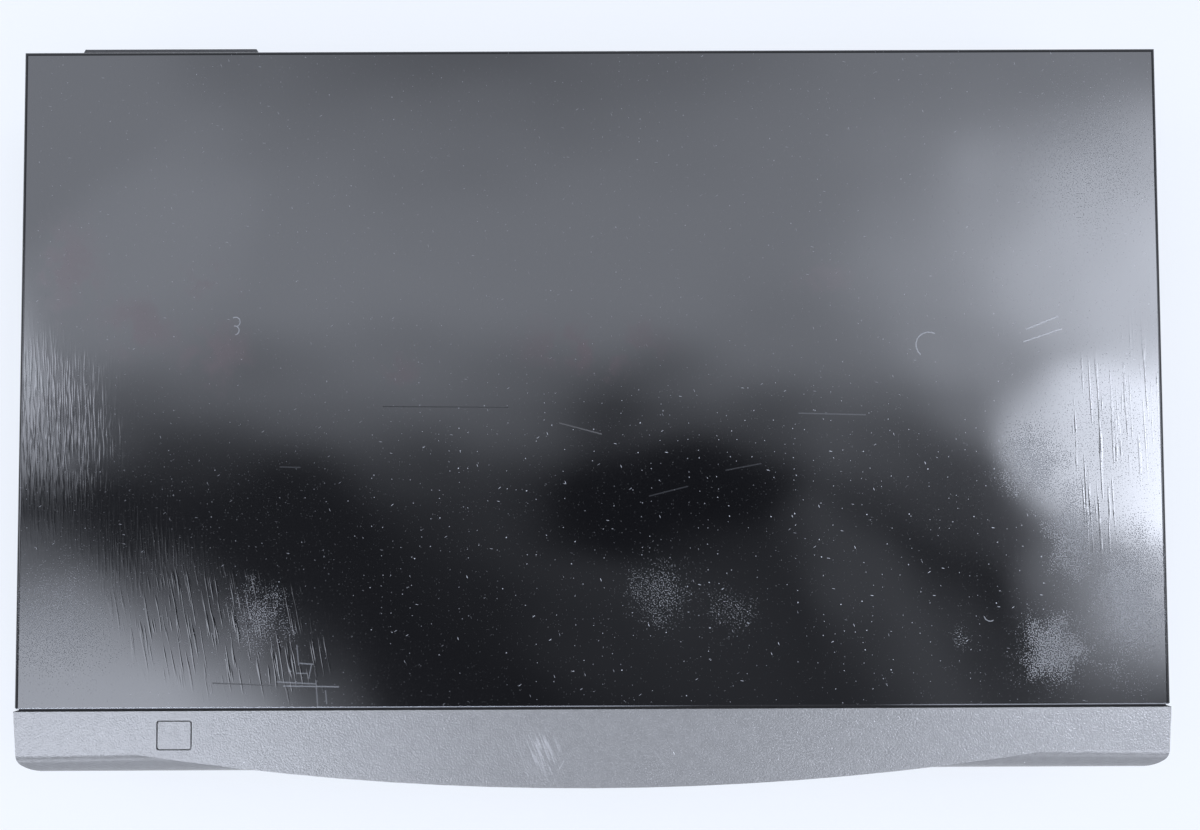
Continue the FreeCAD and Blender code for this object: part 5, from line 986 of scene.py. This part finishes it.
# Return spring of the cassette door: round wire, closed turns, one leg forward and one leg up
def make_spring():
    low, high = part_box("door_spring")
    wire = 0.34 * MM
    radius = 1.66 * MM
    axis_y = -110.8 * MM
    axis_z = 87.0 * MM
    x0 = low[0] + wire
    x1 = high[0] - wire
    turns = 8
    steps = 16
    last = turns * steps + steps * 3 // 4
    points = [(x0, axis_y - radius - 2.2 * MM, axis_z - radius)]
    for i in range(last + 1):
        angle = -math.pi / 2 - 2 * math.pi * i / steps
        share = i / last
        points.append((x0 + (x1 - x0) * share, axis_y + radius * math.cos(angle),
                       axis_z + radius * math.sin(angle)))
    points.append((x1, axis_y + radius, high[2] - 0.1 * MM))
    curve = bpy.data.curves.new("door_return_spring", "CURVE")
    curve.dimensions = "3D"
    curve.bevel_depth = wire
    curve.bevel_resolution = 3
    curve.use_fill_caps = True
    line = curve.splines.new("POLY")
    line.points.add(len(points) - 1)
    for point, at in zip(line.points, points):
        point.co = (*at, 1)
    curve.materials.append(spring_wire)
    spring = bpy.data.objects.new("door_return_spring", curve)
    bpy.context.scene.collection.objects.link(spring)
    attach(spring, "housing")
    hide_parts("door_spring")


# Signs printed on the keys, in millimetres about the middle of each key's face
def triangle(x, way, size=1.5):
    """A play arrow that points right, or left where way is -1."""
    return [(x - way * size * 0.8, -size), (x - way * size * 0.8, size), (x + way * size * 0.8, 0)]


def arc_band(inner, outer, start, end, steps=24):
    """A ring with a gap, between two bearings in degrees."""
    angles = [math.radians(start + (end - start) * i / steps) for i in range(steps + 1)]
    around = [(outer * math.cos(a), outer * math.sin(a)) for a in angles]
    return around + [(inner * math.cos(a), inner * math.sin(a)) for a in reversed(angles)]


def disc(radius, steps=28):
    return [(radius * math.cos(2 * math.pi * i / steps), radius * math.sin(2 * math.pi * i / steps))
            for i in range(steps)]


INK = 0.04
INK_PROUD = 0.03
BOWED_WITHIN = 90
BOW_TIP = -121.2 * MM
BOW_RADIUS = 925.4 * MM
KEY_SIGNS = {
    "rewind_key": [triangle(-1.25, -1), triangle(1.25, -1)],
    "stop_key": [[(-1.4, -1.4), (1.4, -1.4), (1.4, 1.4), (-1.4, 1.4)]],
    "play_key": [triangle(0, 1, 1.7)],
    "fast_forward_key": [triangle(-1.25, 1), triangle(1.25, 1)],
    "record_key": [disc(1.5)],
    "eject_key": [[(-1.8, -0.4), (1.8, -0.4), (0, 1.7)],
                  [(-1.8, -1.6), (1.8, -1.6), (1.8, -0.9), (-1.8, -0.9)]],
    "power_key": [arc_band(1.35, 1.75, 125, 415),
                  [(-0.2, 0.2), (0.2, 0.2), (0.2, 2.1), (-0.2, 2.1)]],
    "channel_up_key": [[(-1.7, -1.1), (1.7, -1.1), (0, 1.3)]],
    "channel_down_key": [[(-1.7, 1.1), (0, -1.3), (1.7, 1.1)]],
}


def make_key_sign(key, outlines):
    """Ink on the key's face, which is bowed on the keys below the cassette door."""
    low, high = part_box(key)
    centre_x = (low[0] + high[0]) / 2
    centre_z = (low[2] + high[2]) / 2
    bowed = abs(centre_x) < BOWED_WITHIN * MM
    form = bmesh.new()
    for outline in outlines:
        front = []
        for x, z in outline:
            at_x = centre_x + x * MM
            y = low[1]
            if bowed:
                y = BOW_TIP + BOW_RADIUS - math.sqrt(BOW_RADIUS ** 2 - at_x ** 2)
            front.append(form.verts.new((at_x, y - INK_PROUD * MM, centre_z + z * MM)))
        face = form.faces.new(front)
        wall = bmesh.ops.extrude_face_region(form, geom=[face])
        rear = [v for v in wall["geom"] if isinstance(v, bmesh.types.BMVert)]
        bmesh.ops.translate(form, verts=rear, vec=(0, INK * MM, 0))
    bmesh.ops.recalc_face_normals(form, faces=form.faces)
    mesh = bpy.data.meshes.new(key + "_sign")
    form.to_mesh(mesh)
    form.free()
    new_piece(key + "_sign", mesh, key_print, key, smooth=False)


make_cover_screws()
make_spring()
for key, outlines in KEY_SIGNS.items():
    make_key_sign(key, outlines)
